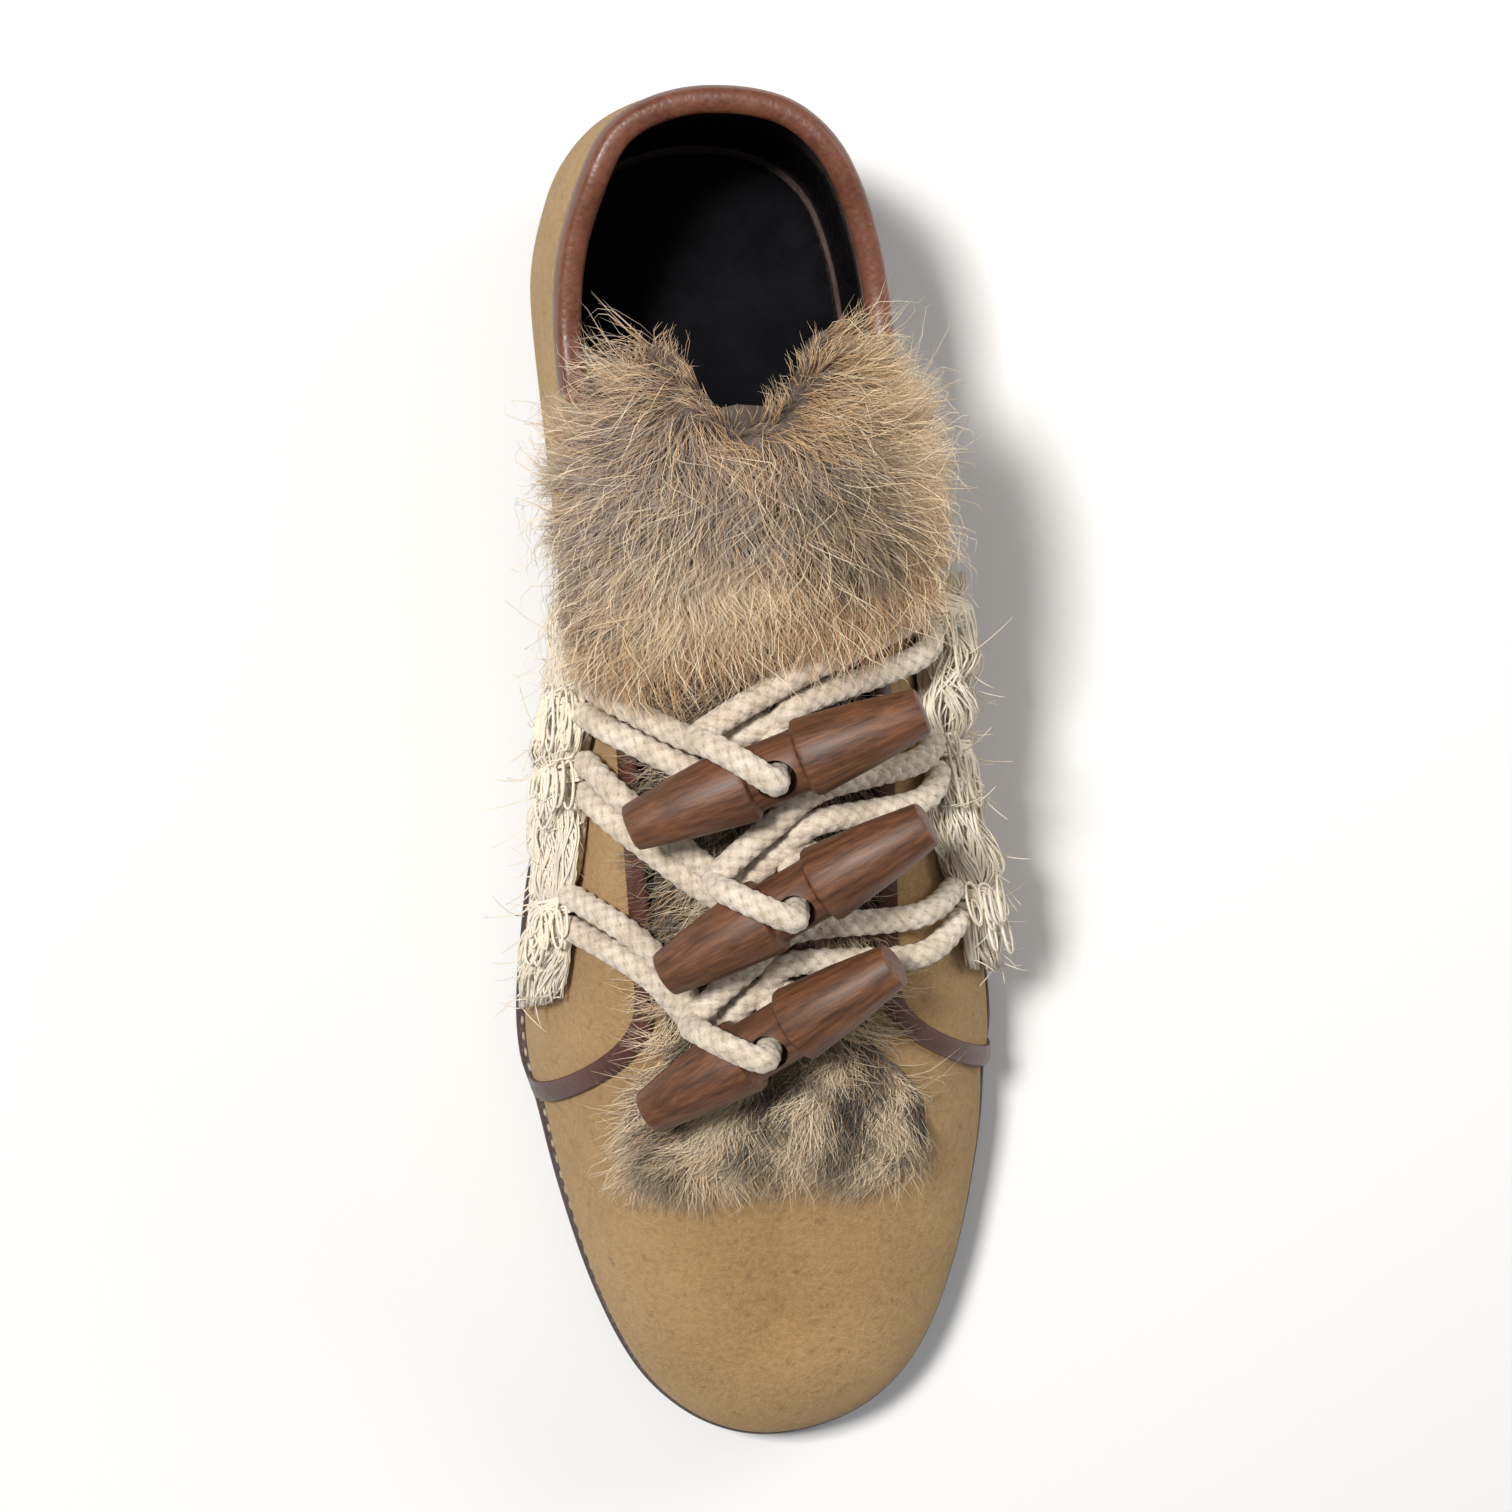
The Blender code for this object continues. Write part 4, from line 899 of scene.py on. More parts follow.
def quarter_edge(side):
    """Path along the facing, round the corner and down the front, with its directions."""
    start = 0 if side > 0 else quarter_columns

    def along(rise, column):
        """Places down the facing at one rise, then down the front at one column."""
        spots = [quarter_spot(abs(start - i), rise) for i in range(THROAT_COLUMNS, 0, -1)]
        spots += [quarter_spot(abs(start - column), 1 - k / FACING_STEPS)
                  for k in range(FACING_STEPS - 1)]
        return [edge_axes(*spot) for spot in spots]

    edge = along(1.0, 0)
    line = [spot for spot, _, _ in edge]
    outs = [out for _, _, out in edge]
    inner = [spot for spot, _, _ in along(INNER_RISE, INNER_COLUMN)]
    for _ in range(EDGE_PASSES):
        line = eased(line)
        outs = outs[:1] + [out.normalized() for out in eased(outs)[1:-1]] + outs[-1:]
    aways = []
    for k, spot in enumerate(line):
        run = (line[min(k + 1, len(line) - 1)] - line[max(k - 1, 0)]).normalized()
        away = outs[k].cross(run).normalized()
        aways.append(away if away.dot(spot - inner[k]) > 0 else -away)
    return line, aways, outs


for side, name in ((1, "lateral"), (-1, "medial")):
    line, aways, outs = quarter_edge(side)

    def binding_place(i, j):
        a, n = EDGE_PROFILE[j % len(EDGE_PROFILE)]
        return line[i] + aways[i] * a + outs[i] * n

    add_piece("quarter_edge_" + name, shell(len(line) - 1, len(EDGE_PROFILE), binding_place),
              quarter_finish, ["quarter_binding_" + name], 60.0)


# Tongue
# One strip of brown leather under the quarters, from beneath the vamp to over the collar.
# The fur is glued to its top.
TONGUE_THICKNESS = 0.0022
TONGUE_LAP = 0.007
TONGUE_DROP = 0.0018
TONGUE_ENDS = (0.655, 0.235)
TONGUE_ROWS = 36
TONGUE_COLUMNS = 60
tongue_finish = leather("tongue_leather", (0.040, 0.024, 0.016), (0.085, 0.052, 0.034), 0.6)


def tongue_depth(at):
    """How far the tongue's top lies under the form, deeper away from the vamp."""
    behind = (FRONT_AT - at) / (FRONT_AT - TOP_AT)
    return WALL + FIT + TONGUE_DROP * unit(behind * 1.4)


@lru_cache(maxsize=None)
def tongue_low(side, at):
    return v_at_half(side, at, THROAT[side] + TONGUE_LAP)


tongue_first, tongue_last = (crest_station(share) for share in TONGUE_ENDS)


def tongue_place(i, j, under):
    at = tongue_first + (tongue_last - tongue_first) * i / TONGUE_COLUMNS
    side, q = across_row(j, TONGUE_ROWS)
    v = 1 - (1 - tongue_low(side, at)) * q
    return skin(side, at, v, -tongue_depth(at) - under)


add_piece("tongue_strip", shell(TONGUE_COLUMNS, TONGUE_ROWS, tongue_place,
                                (TONGUE_THICKNESS, 0.0)), tongue_finish,
          ["tongue"])


# Toggles
# Three turned wooden toggles, stained red-brown and waxed: two cones with a cut waist
# between them, a cross hole for the cords and a drilled socket in one end.
TOGGLE_LENGTH = 0.062
TOGGLE_RADIUS = 0.0080
TOGGLE_WAIST = 0.0064
TOGGLE_WAIST_WIDTH = 0.0115
TOGGLE_END = 0.0048
TOGGLE_BORE = 0.0040
TOGGLE_SOCKET = 0.0022
TOGGLE_SOCKET_DEPTH = 0.0040
CORD_RADIUS = 0.0027
CORD_LIFT = 0.0056
TOGGLE_TURNS = 56
DRILL_SIDES = 48
FORM_COLUMNS = 120              # grid of the form that the toggles and cords are dropped on
FORM_ROWS = 40
TOGGLE_ROWS = [
    dict(x=0.030, along=0.4680, lean=21.5, lateral_foot=0.378, lateral_height=0.735,
         medial_foot=0.425, medial_height=0.735),
    dict(x=0.055, along=0.5540, lean=33.0, lateral_foot=0.484, lateral_height=0.685,
         medial_foot=0.482, medial_height=0.690),
    dict(x=0.010, along=0.6560, lean=35.0, lateral_foot=0.596, lateral_height=0.565,
         medial_foot=0.578, medial_height=0.560),
]

wood_finish, tree, shader = new_finish("stained_wood", Coat_Weight=0.06, Coat_Roughness=0.35)
grain_place = add(tree, "ShaderNodeAttribute", attribute_name="grain").outputs["Vector"]
streaked = add(tree, "ShaderNodeMapping", {"Vector": grain_place, "Scale": (0.09, 1.0, 1.0)})
grain_lines = noise_of(tree, streaked.outputs["Vector"], 1500.0, 4.0, 0.65, 0.4)
growth = noise_of(tree, streaked.outputs["Vector"], 650.0, 2.0)
wood_tone = add(tree, "ShaderNodeMix", {"Factor": 0.45, "A": growth, "B": grain_lines})
wood_colour = add(tree, "ShaderNodeValToRGB", {"Fac": wood_tone.outputs["Result"]})
ramp = wood_colour.color_ramp
ramp.elements.new(0.50)
for stop, (where, tone) in zip(ramp.elements, ((0.32, (0.042, 0.017, 0.008, 1.0)),
                                               (0.50, (0.122, 0.047, 0.020, 1.0)),
                                               (0.68, (0.220, 0.092, 0.038, 1.0)))):
    stop.position = where
    stop.color = tone
wire(tree, shader, Base_Color=wood_colour.outputs["Color"],
     Roughness=ranged(tree, grain_lines, 0.0, 1.0, 0.42, 0.62),
     Normal=raised(tree, grain_lines, 0.00016, 0.6))

form_points = []
form_faces = []
for side in (1, -1):
    first = len(form_points)
    form_points += [form(side, 1 - i / FORM_COLUMNS, j / FORM_ROWS)
                    for i in range(FORM_COLUMNS + 1) for j in range(FORM_ROWS + 1)]
    for i in range(FORM_COLUMNS):
        for j in range(FORM_ROWS):
            a = first + i * (FORM_ROWS + 1) + j
            quad = [a, a + FORM_ROWS + 1, a + FORM_ROWS + 2, a + 1]
            form_faces.append(quad if side > 0 else quad[::-1])
FORM_TREE = BVHTree.FromPolygons(form_points, form_faces)


def over_form(x_share, along, lift):
    """Point over the form, found straight above a place in the plan."""
    above = Vector((CREST_OFFSET + x_share * BALL_WIDTH, HEEL_END - along * LENGTH, 1.0))
    hit, normal, _, _ = FORM_TREE.ray_cast(above, Vector((0.0, 0.0, -1.0)))
    return hit + normal * lift


def on_side(side, foot, height, lift):
    """Point over the wall, at a share of the length and of the instep's height."""
    at = station(foot)
    return skin(side, at, v_at_height(side, at, height * INSTEP_HEIGHT), lift)


def toggle_frame(row):
    """Centre of a toggle, its axis, the direction towards the heel and the way up."""
    lift = CORD_LIFT + CORD_RADIUS + TOGGLE_RADIUS + FIT
    centre = over_form(row["x"], row["along"], lift)
    up = (over_form(row["x"], row["along"], 2 * lift) - centre).normalized()
    lean = radians(row["lean"])
    axis = Vector((cos(lean), sin(lean), 0.0))
    axis = (axis - up * axis.dot(up)).normalized()
    return centre, axis, up.cross(axis), up


half = TOGGLE_LENGTH / 2
waist = TOGGLE_WAIST_WIDTH / 2
turned = [(-half + TOGGLE_SOCKET_DEPTH, 0.0), (-half + TOGGLE_SOCKET_DEPTH, TOGGLE_SOCKET * 0.6),
          (-half + 0.0004, TOGGLE_SOCKET), (-half, TOGGLE_SOCKET + 0.0004),
          (-half, TOGGLE_END * 0.84), (-half + 0.0003, TOGGLE_END * 0.95),
          (-half + 0.0010, TOGGLE_END), (-half + 0.012, TOGGLE_END + 0.0018)]
turned += [(-waist - 0.0012, TOGGLE_RADIUS), (-waist - 0.0003, TOGGLE_RADIUS * 0.97),
           (-waist, TOGGLE_RADIUS * 0.90), (-waist + 0.0004, TOGGLE_WAIST + 0.0002),
           (-waist + 0.0012, TOGGLE_WAIST)]
turned += [(-x, radius) for x, radius in reversed(turned[7:])]
turned += [(half - 0.0010, TOGGLE_END), (half - 0.0003, TOGGLE_END * 0.95),
           (half, TOGGLE_END * 0.84), (half, 0.0)]
toggle_body = bmesh.new()
profile_verts = [toggle_body.verts.new((x, radius, 0.0)) for x, radius in turned]
profile_edges = [toggle_body.edges.new(pair) for pair in zip(profile_verts, profile_verts[1:])]
bmesh.ops.spin(toggle_body, geom=profile_verts + profile_edges, cent=(0, 0, 0), axis=(1, 0, 0),
               dvec=(0, 0, 0), angle=2 * pi, steps=TOGGLE_TURNS, use_merge=True)
bmesh.ops.remove_doubles(toggle_body, verts=toggle_body.verts, dist=1e-6)
bmesh.ops.recalc_face_normals(toggle_body, faces=toggle_body.faces)
blank = set_down("toggle_blank", mesh_of("toggle_blank", toggle_body))
drill_body = bmesh.new()
bmesh.ops.create_cone(drill_body, cap_ends=True, segments=DRILL_SIDES, radius1=TOGGLE_BORE,
                      radius2=TOGGLE_BORE, depth=4 * TOGGLE_RADIUS)
drill = set_down("toggle_drill", mesh_of("toggle_drill", drill_body))
hole = blank.modifiers.new("hole", "BOOLEAN")
hole.operation = "DIFFERENCE"
hole.object = drill
view = bpy.context.evaluated_depsgraph_get()
drilled = bpy.data.meshes.new_from_object(blank.evaluated_get(view))
for helper in (blank, drill):
    bpy.data.objects.remove(helper, do_unlink=True)

for number, row in enumerate(TOGGLE_ROWS, 1):
    centre, axis, back, up = toggle_frame(row)
    body = bmesh.new()
    body.from_mesh(drilled)
    grain = body.verts.layers.float_vector.new("grain")
    for vert in body.verts:
        vert[grain] = vert.co + Vector((0.05 * number, 0.03 * number, 0.0))
    turn = Matrix((axis, back, up)).transposed().to_4x4()
    bmesh.ops.transform(body, matrix=Matrix.Translation(centre) @ turn, verts=body.verts)
    add_piece(f"wood_toggle_{number}", body, wood_finish, [f"toggle_{number}"],
              32.0)


# Cords
# Soft round cotton cord, plaited from eight strands. On the outer side one length crosses
# over its toggle and ends through the hole; on the inner side a loop passes round the neck.
STRAND_STEP = 0.0225
STRAND_FALL = 0.028
CORD_SIDES = 28
CORD_STEP = 0.0006
PLAIT_LENGTH = 0.0125
PLAIT_DEPTH = 0.00062
PLAIT_STRANDS = 4               # strands that run each way round the cord
KNOT_STEPS = 12
END_STEPS = 5
SHOULDER_X = 0.285              # where the cords lie on the facings, as shares of the width
MEDIAL_X = -0.235

cord_finish, tree, shader = new_finish("plaited_cotton", Roughness=0.9, Sheen_Weight=0.3,
                                       Sheen_Roughness=0.5, Specular_IOR_Level=0.15)
cotton, cotton_height = mottled(tree, object_place(tree), 160.0, 1900.0, (0.56, 0.45, 0.33),
                                (0.90, 0.80, 0.67), 0.45)
# Painted shade: the cotton is coloured dark brown in the plait's grooves, by the groove attribute,
# for the shade between its strands
groove = add(tree, "ShaderNodeAttribute", attribute_name="groove").outputs["Fac"]
wire(tree, shader, Base_Color=tone_of(tree, groove, (0.24, 0.17, 0.105, 1.0), cotton),
     Normal=raised(tree, cotton_height, 0.0004, 0.8))


def smooth_path(knots, spacing):
    """Even points along a smooth curve through a cord's knots."""
    dense = []
    for i in range(len(knots) - 1):
        a = knots[max(i - 1, 0)]
        b = knots[i]
        c = knots[i + 1]
        d = knots[min(i + 2, len(knots) - 1)]
        for k in range(KNOT_STEPS):
            t = k / KNOT_STEPS
            dense.append(0.5 * (2 * b + (c - a) * t + (2 * a - 5 * b + 4 * c - d) * t**2
                                + (3 * b - a - 3 * c + d) * t**3))
    dense.append(knots[-1])
    return even_path(dense, spacing)


def plait(around, along):
    """Height of a round plait, 0 in its grooves and 1 on the strands."""
    a = PLAIT_STRANDS * around - PLAIT_STRANDS * along
    b = PLAIT_STRANDS * around + PLAIT_STRANDS * along
    first = (floor(a) + floor(b)) % 2 == 0
    across = a % 1.0 if first else b % 1.0
    run = b % 1.0 if first else a % 1.0
    rounded = max(1 - (2 * across - 1) ** 2, 0.0) ** 0.5
    return rounded * (0.55 + 0.45 * sin(pi * run))


def plaited(name, path, radius, stands_for=()):
    """Plaited cord along a path, both its ends rounded off."""
    guide = Vector((0.0, 0.0, 1.0))
    frames = []
    for i, spot in enumerate(path):
        run = (path[min(i + 1, len(path) - 1)] - path[max(i - 1, 0)]).normalized()
        guide = (guide - run * guide.dot(run)).normalized()
        frames.append((spot, guide.copy(), run.cross(guide)))
    last = len(path) - 1

    def height(i, j):
        return plait((j % CORD_SIDES) / CORD_SIDES, i * CORD_STEP / PLAIT_LENGTH)

    def place(i, j):
        spot, up, across = frames[i]
        angle = 2 * pi * (j % CORD_SIDES) / CORD_SIDES
        end = min(i, last - i) / END_STEPS
        round_off = sqrt(max(1 - (1 - min(end, 1.0)) ** 2, 0.0))
        reach = (radius + 0.0001 - PLAIT_DEPTH * (1 - height(i, j))) * round_off
        return spot + (up * cos(angle) + across * sin(angle)) * reach

    body = shell(last, CORD_SIDES, place)
    corner = body.verts.layers.float_vector["corner"]
    # Painted shade in the grooves: this is low where the plait is sunk, so the cotton's colour is
    # darkened there
    shade = body.verts.layers.float.new("groove")
    for vert in body.verts:
        vert[shade] = min(0.25 + 1.1 * height(int(vert[corner].x), int(vert[corner].y)), 1.0)
    return add_piece(name, body, cord_finish, stands_for, ALL_SMOOTH)


def cord_knots(row):
    """Points that the two cords of one row pass through."""
    centre, axis, back, up = toggle_frame(row)
    under = -(TOGGLE_RADIUS + CORD_RADIUS + FIT)
    beside = TOGGLE_RADIUS + CORD_RADIUS + 4 * FIT

    def near(along, towards_heel, height):
        return centre + axis * along + back * towards_heel + up * height

    shoulder = row["lateral_foot"] * 0.70 + row["along"] * 0.30
    lateral = [
        on_side(1, row["lateral_foot"], row["lateral_height"], CORD_LIFT),
        over_form(SHOULDER_X, shoulder - 0.018, CORD_LIFT * 1.12),
        near(0.0150, beside * 1.10, under * 0.98),
        near(0.003, beside * 1.06, under * 0.72),
        near(-0.007, beside * 1.00, under * 0.45),
        near(-0.0115, beside * 0.98, -0.001),
        near(-0.0085, beside * 0.92, 0.0050),
        near(-0.0040, beside * 0.62, 0.0098),
        near(-0.0003, 0.0020, 0.0105),
        near(0.0, 0.0002, 0.0060),
        near(0.0, 0.0, -0.0020),
        near(0.0, 0.0006, -0.0080),
        near(0.0025, 0.0045, under),
        near(0.0100, 0.0070, under),
        over_form(SHOULDER_X, shoulder + 0.010, CORD_LIFT * 1.20),
        on_side(1, row["lateral_foot"] + STRAND_STEP, row["lateral_height"] - STRAND_FALL,
                CORD_LIFT),
    ]
    over_along = row["medial_foot"] * 0.60 + row["along"] * 0.40
    medial = [
        on_side(-1, row["medial_foot"], row["medial_height"], CORD_LIFT),
        over_form(MEDIAL_X, over_along - 0.5 * STRAND_STEP, CORD_LIFT * 1.08),
        near(-0.0110, 0.0062, under * 0.925),
        near(0.0010, 0.0056, under),
        near(0.0062, 0.0, under),
        near(0.0010, -0.0050, under),
        near(-0.0130, -0.0002, under * 0.915),
        over_form(MEDIAL_X, over_along + 0.5 * STRAND_STEP, CORD_LIFT * 1.08),
        on_side(-1, row["medial_foot"] + STRAND_STEP, row["medial_height"] - STRAND_FALL,
                CORD_LIFT),
    ]
    return lateral, medial


for number, row in enumerate(TOGGLE_ROWS, 1):
    lateral, medial = cord_knots(row)
    plaited(f"outer_cord_{number}", smooth_path(lateral, CORD_STEP), CORD_RADIUS,
            [f"cord_row_{number}"])
    plaited(f"inner_cord_{number}", smooth_path(medial, CORD_STEP), CORD_RADIUS)


# Fur
# Long soft fur with grey down under tan and russet hair, its guard hairs tipped in cream.
# A thick cuff covers the tongue's top, a thin strip fills the throat and an apron spreads
# over the vamp.
FUR_DEPTH = 0.0120
FUR_REACH_IN = 0.0095
APRON_DEPTH = 0.0062
CUFF_NOTCH = 0.255
CUFF_LOBE = 0.050
CUFF_HEM = 0.398
CUFF_LOW = 0.800
LOOSE_EDGE = QUARTER_STEP + BINDING + 5 * FIT
HAIR_ROOT = 0.30                # where hair leaves the fur, as a share of its height
HAIR_DROOP = 0.18
TURN = 6.28
APRON_BOW = 0.034
APRON = {"crest": (0.4, 0.64, 0.672, 0.7, 0.725, 0.755, 0.788),
         "medial": (0.215, 0.215, 0.22, 0.3, 0.31, 0.3, 0.25),
         "lateral": (0.215, 0.215, 0.22, 0.3, 0.325, 0.33, 0.3),
         "top": (0.16, 0.18, 0.2, 0.28, 0.95, 1.0, 0.6)}
TUFT = 0.0042
draw = np.random.default_rng(7)

# Thin tubes swept along strands by geometry nodes, as thick as each point says
sweep = bpy.data.node_groups.new("sweep_strands", "GeometryNodeTree")
sweep.interface.new_socket("Geometry", in_out="INPUT", socket_type="NodeSocketGeometry")
sweep.interface.new_socket("Sides", in_out="INPUT", socket_type="NodeSocketInt")
sweep.interface.new_socket("Geometry", in_out="OUTPUT", socket_type="NodeSocketGeometry")
sweep_in = add(sweep, "NodeGroupInput")
sweep_out = add(sweep, "NodeGroupOutput")
thickness = add(sweep, "GeometryNodeInputNamedAttribute", {"Name": "thickness"},
                data_type="FLOAT")
to_curve = add(sweep, "GeometryNodeMeshToCurve", {"Mesh": sweep_in.outputs["Geometry"]})
section_ring = add(sweep, "GeometryNodeCurvePrimitiveCircle",
                   {"Resolution": sweep_in.outputs["Sides"], "Radius": 1.0})
swept = add(sweep, "GeometryNodeCurveToMesh", {"Curve": to_curve.outputs["Curve"],
            "Profile Curve": section_ring.outputs["Curve"], "Fill Caps": True,
            "Scale": thickness.outputs["Attribute"]})
sweep.links.new(swept.outputs["Mesh"], sweep_out.inputs["Geometry"])


def sweep_strands(name, lines, thick, tint, sides, finish, stands_for=()):
    """Piece of many strands: lines (strand, point, 3), thick (strand, point), tint (.., 4)."""
    strands, steps = lines.shape[:2]
    starts = (np.arange(strands)[:, None] * steps + np.arange(steps - 1)[None, :]).ravel()
    core = bpy.data.meshes.new(name + "_core")
    core.from_pydata(lines.reshape(-1, 3).tolist(), np.stack([starts, starts + 1], 1).tolist(), [])
    core.attributes.new("thickness", "FLOAT", "POINT").data.foreach_set("value", thick.ravel())
    core.attributes.new("tint", "FLOAT_COLOR", "POINT").data.foreach_set("color", tint.ravel())
    carrier = set_down(name + "_core", core)
    modifier = carrier.modifiers.new("sweep", "NODES")
    modifier.node_group = sweep
    modifier[sweep.interface.items_tree["Sides"].identifier] = sides
    view = bpy.context.evaluated_depsgraph_get()
    mesh = bpy.data.meshes.new_from_object(carrier.evaluated_get(view))
    mesh.name = name
    bpy.data.objects.remove(carrier, do_unlink=True)
    return add_piece(name, mesh, finish, stands_for, ALL_SMOOTH)


def strand(root, *terms):
    """Points of one strand: its root and, for each term, amounts along a direction."""
    return sum((np.outer(amounts, way) for amounts, way in terms), np.array(root)[None, :])


def strand_finish(name, **sockets):
    """Hair and yarn take their colour from each strand."""
    made, tree, shader = new_finish(name, **sockets)
    tint = add(tree, "ShaderNodeAttribute", attribute_name="tint")
    wire(tree, shader, Base_Color=tint.outputs["Color"])
    return made


fur_finish = strand_finish("fur_hair", Roughness=0.5, Specular_IOR_Level=0.35,
                           Sheen_Weight=0.15)
down_finish = speckled("fur_down", (120.0, 900.0), (0.070, 0.052, 0.040), (0.20, 0.155, 0.12),
                       0.5, 0.001, Roughness=0.95)


def fur_floor(side, at, v):
    """Fur lies on the tongue inside the throat and rides over the leather edges beside it."""
    edge = edge_v(side, at)
    inside = (form(side, at, v) - form(side, at, edge)).length
    if v > edge and inside > FUR_REACH_IN:
        return FIT - tongue_depth(at)
    return LOOSE_EDGE


@lru_cache(maxsize=None)
def cuff_low(side, at):
    return v_at_height(side, at, CUFF_LOW * INSTEP_HEIGHT)


def cuff_spot(t, q):
    """Side, station, v, floor and height of the cuff: t from behind, q across."""
    side = 1 if q >= 0 else -1
    behind = CUFF_NOTCH - CUFF_LOBE * sin(pi * min(abs(q) * 1.3, 0.8))
    front = CUFF_HEM - (0.125 * q * q if q > 0 else 0.035 * q * q)
    at = round(crest_station(behind + (front - behind) * t), 3)
    v = 1 - (1 - cuff_low(side, at)) * abs(q)
    rim = min(sin(pi * min(max(t, 0.04), 0.96)) ** 0.5, max(1.06 - q * q, 0.05) ** 0.4)
    low = fur_floor(side, at, v)
    high = max(LOOSE_EDGE + FUR_DEPTH * rim, low + 0.25 * FUR_DEPTH)
    return side, at, v, low, high


def apron_spot(t, q):
    """Side, station, v, floor and height of the strip and apron: t towards the toe."""
    side = 1 if q >= 0 else -1
    share = APRON["crest"][0] + (APRON["crest"][-1] - APRON["crest"][0]) * t
    reach = BALL_WIDTH * ease(APRON["crest"], APRON["lateral" if side > 0 else "medial"], share)
    at = crest_station(share - APRON_BOW * q * q * t**5)
    v = v_at_half(side, at, max(reach * abs(q), 0.0001))
    rim = max(1.05 - q**4, 0.05) ** 0.3
    low = FIT - tongue_depth(at) if foot_share(at) < QUARTER_FRONT - 0.03 else 3.5 * FIT
    high = max(APRON_DEPTH * ease(APRON["crest"], APRON["top"], share) * rim, low + 0.0008)
    return side, at, v, low, high


def pad(name, columns, rows, spot_of, depth, stands_for, reach=1.0):
    """Body of down that the hair stands on."""
    spots = {}

    def place(i, j, level):
        share, lumps = level
        if (i, j) not in spots:
            side, at, v, low, high = spot_of(reach * i / columns, 2 * j / rows - 1)
            spots[(i, j)] = (form(side, at, v), skin_axes(side, at, v)[2], low, high)
        spot, out, low, high = spots[(i, j)]
        lump = lumps * sin(2.3 * i + 1.1 * j) * sin(1.7 * j - 0.9 * i)
        return spot + out * (low + (high - low) * share + lump)

    return add_piece(name, shell(columns, rows, place, ((0.0, 0.0), (depth, 0.0004))),
                     down_finish, [stands_for], ALL_SMOOTH)


pad("cuff_down", 40, 48, cuff_spot, 0.50, "fur_cuff")
pad("apron_down", 90, 30, apron_spot, 0.35, "fur_apron", 0.93)

PALETTE = np.array([
    (0.300, 0.262, 0.272),    # grey down
    (0.440, 0.320, 0.205),    # taupe
    (0.800, 0.480, 0.210),    # tan
    (0.500, 0.210, 0.070),    # russet
    (0.040, 0.030, 0.028),    # dark
    (1.000, 0.850, 0.600),    # cream
])
CREAM = PALETTE[5]


def grow(name, spot_of, count, spread, comb_of, length, rise, thick, mix_of, steps=4,
         tip_pale=0.5, frizz=0.0010, gather=0.75):
    """Hair over a fur body: each strand leaves the down and bends over along the comb."""
    lines = np.zeros((count, steps, 3))
    tints = np.ones((count, steps, 4))
    widths = np.zeros((count, steps))
    t = np.linspace(0.0, 1.0, steps)
    for k in range(count):
        a, b = (low + (high - low) * draw.random() for low, high in spread)
        side, at, v, low, high = spot_of(a, b)
        spot = form(side, at, v)
        out = skin_axes(side, at, v)[2]
        comb = comb_of(spot, a, b)
        comb = comb - out * comb.dot(out)
        comb.normalize()
        across = out.cross(comb)
        long = length * (0.65 + 0.6 * draw.random())
        lean = 0.35 * draw.normal()
        comb = (comb + across * lean).normalized()
        root_lift = low + (high - low) * HAIR_ROOT
        lift = (high + rise - root_lift) * (0.80 + 0.35 * draw.random())
        root = spot + out * root_lift
        column, row = floor(spot.x / TUFT), floor(spot.y / TUFT)
        stray_x = sin(12.9 * column + 78.2 * row)
        stray_y = sin(39.3 * column - 11.1 * row)
        tuft = Vector(((column + 0.5 + 0.4 * stray_x) * TUFT - spot.x,
                       (row + 0.5 + 0.4 * stray_y) * TUFT - spot.y, 0.0))
        comb = (comb + across * 0.45 * stray_x).normalized()
        curl = frizz * draw.normal(size=2)
        phase = draw.random() * TURN
        bend = np.sin(np.minimum(t * 1.7, 1.35) * 1.1)
        droop = HAIR_DROOP * long * t**2.2
        wave = np.sin(phase + 5.0 * t) - sin(phase)
        lines[k] = strand(root, (lift * bend - droop, out), (long * t, comb),
                          (curl[0] * wave, across), (gather * t**1.5, tuft),
                          (curl[1] * wave * 0.6, out))
        shares = np.array(mix_of(spot, a, b))
        own = PALETTE[draw.choice(len(PALETTE), p=shares)]
        base = (0.45 * shares @ PALETTE + 0.55 * own) * (0.85 + 0.30 * draw.random())
        tip = base * (1 - tip_pale) + CREAM * tip_pale
        dark_root = base * 0.60
        to_middle = dark_root + (base - dark_root) * 2 * t[:, None]
        to_tip = base + (tip - base) * np.maximum(2 * t[:, None] - 1, 0.0) ** 1.5
        tints[k, :, :3] = np.where(t[:, None] < 0.5, to_middle, to_tip)
        widths[k] = thick * (0.8 + 0.4 * draw.random()) * (1 - 0.85 * t**2)
    return sweep_strands(name, lines, widths, tints, 3, fur_finish)


def cuff_comb(spot, t, q):
    """The cuff's hair parts over the notch, and falls towards the toe in front."""
    sway = (0.35 * sin(170 * spot.x + 60 * spot.y)
            + 0.25 * sin(310 * spot.y - 90 * spot.x))
    parting = q + 0.16 * sin(9 * t + 0.5)
    beside = min(abs(q) * 2.2, 1.0)
    sideways = tanh(2.6 * parting) * max(1.15 - 1.1 * t, 0.1)
    return Vector((sideways + sway * (1.2 - t), 0.80 * beside - 0.55 - 1.5 * t, -0.10))


def rim_comb(spot, t, q):
    """Short hair along the cuff's back edge stands over it."""
    return Vector((0.9 * sin(400 * spot.x), 1.0, 0.1))


def apron_comb(spot, t, q):
    """The apron's hair falls towards the toe, a little to the inner side."""
    sway = 0.25 * sin(260 * spot.x - 120 * spot.y)
    held = 0.9 * max(q - 0.5, 0.0)
    return Vector((0.45 * q - 0.30 + sway - held, -1.0, -0.1))


def strip_comb(spot, t, q):
    """The strip's hair spreads over both facings, most of it over the inner one."""
    sway = 0.3 * sin(310 * spot.x - 140 * spot.y)
    return Vector((1.1 * q - 0.35 + sway, -0.8, 0.1))


def normal_mix(*weights):
    total = sum(weights)
    return [weight / total for weight in weights]


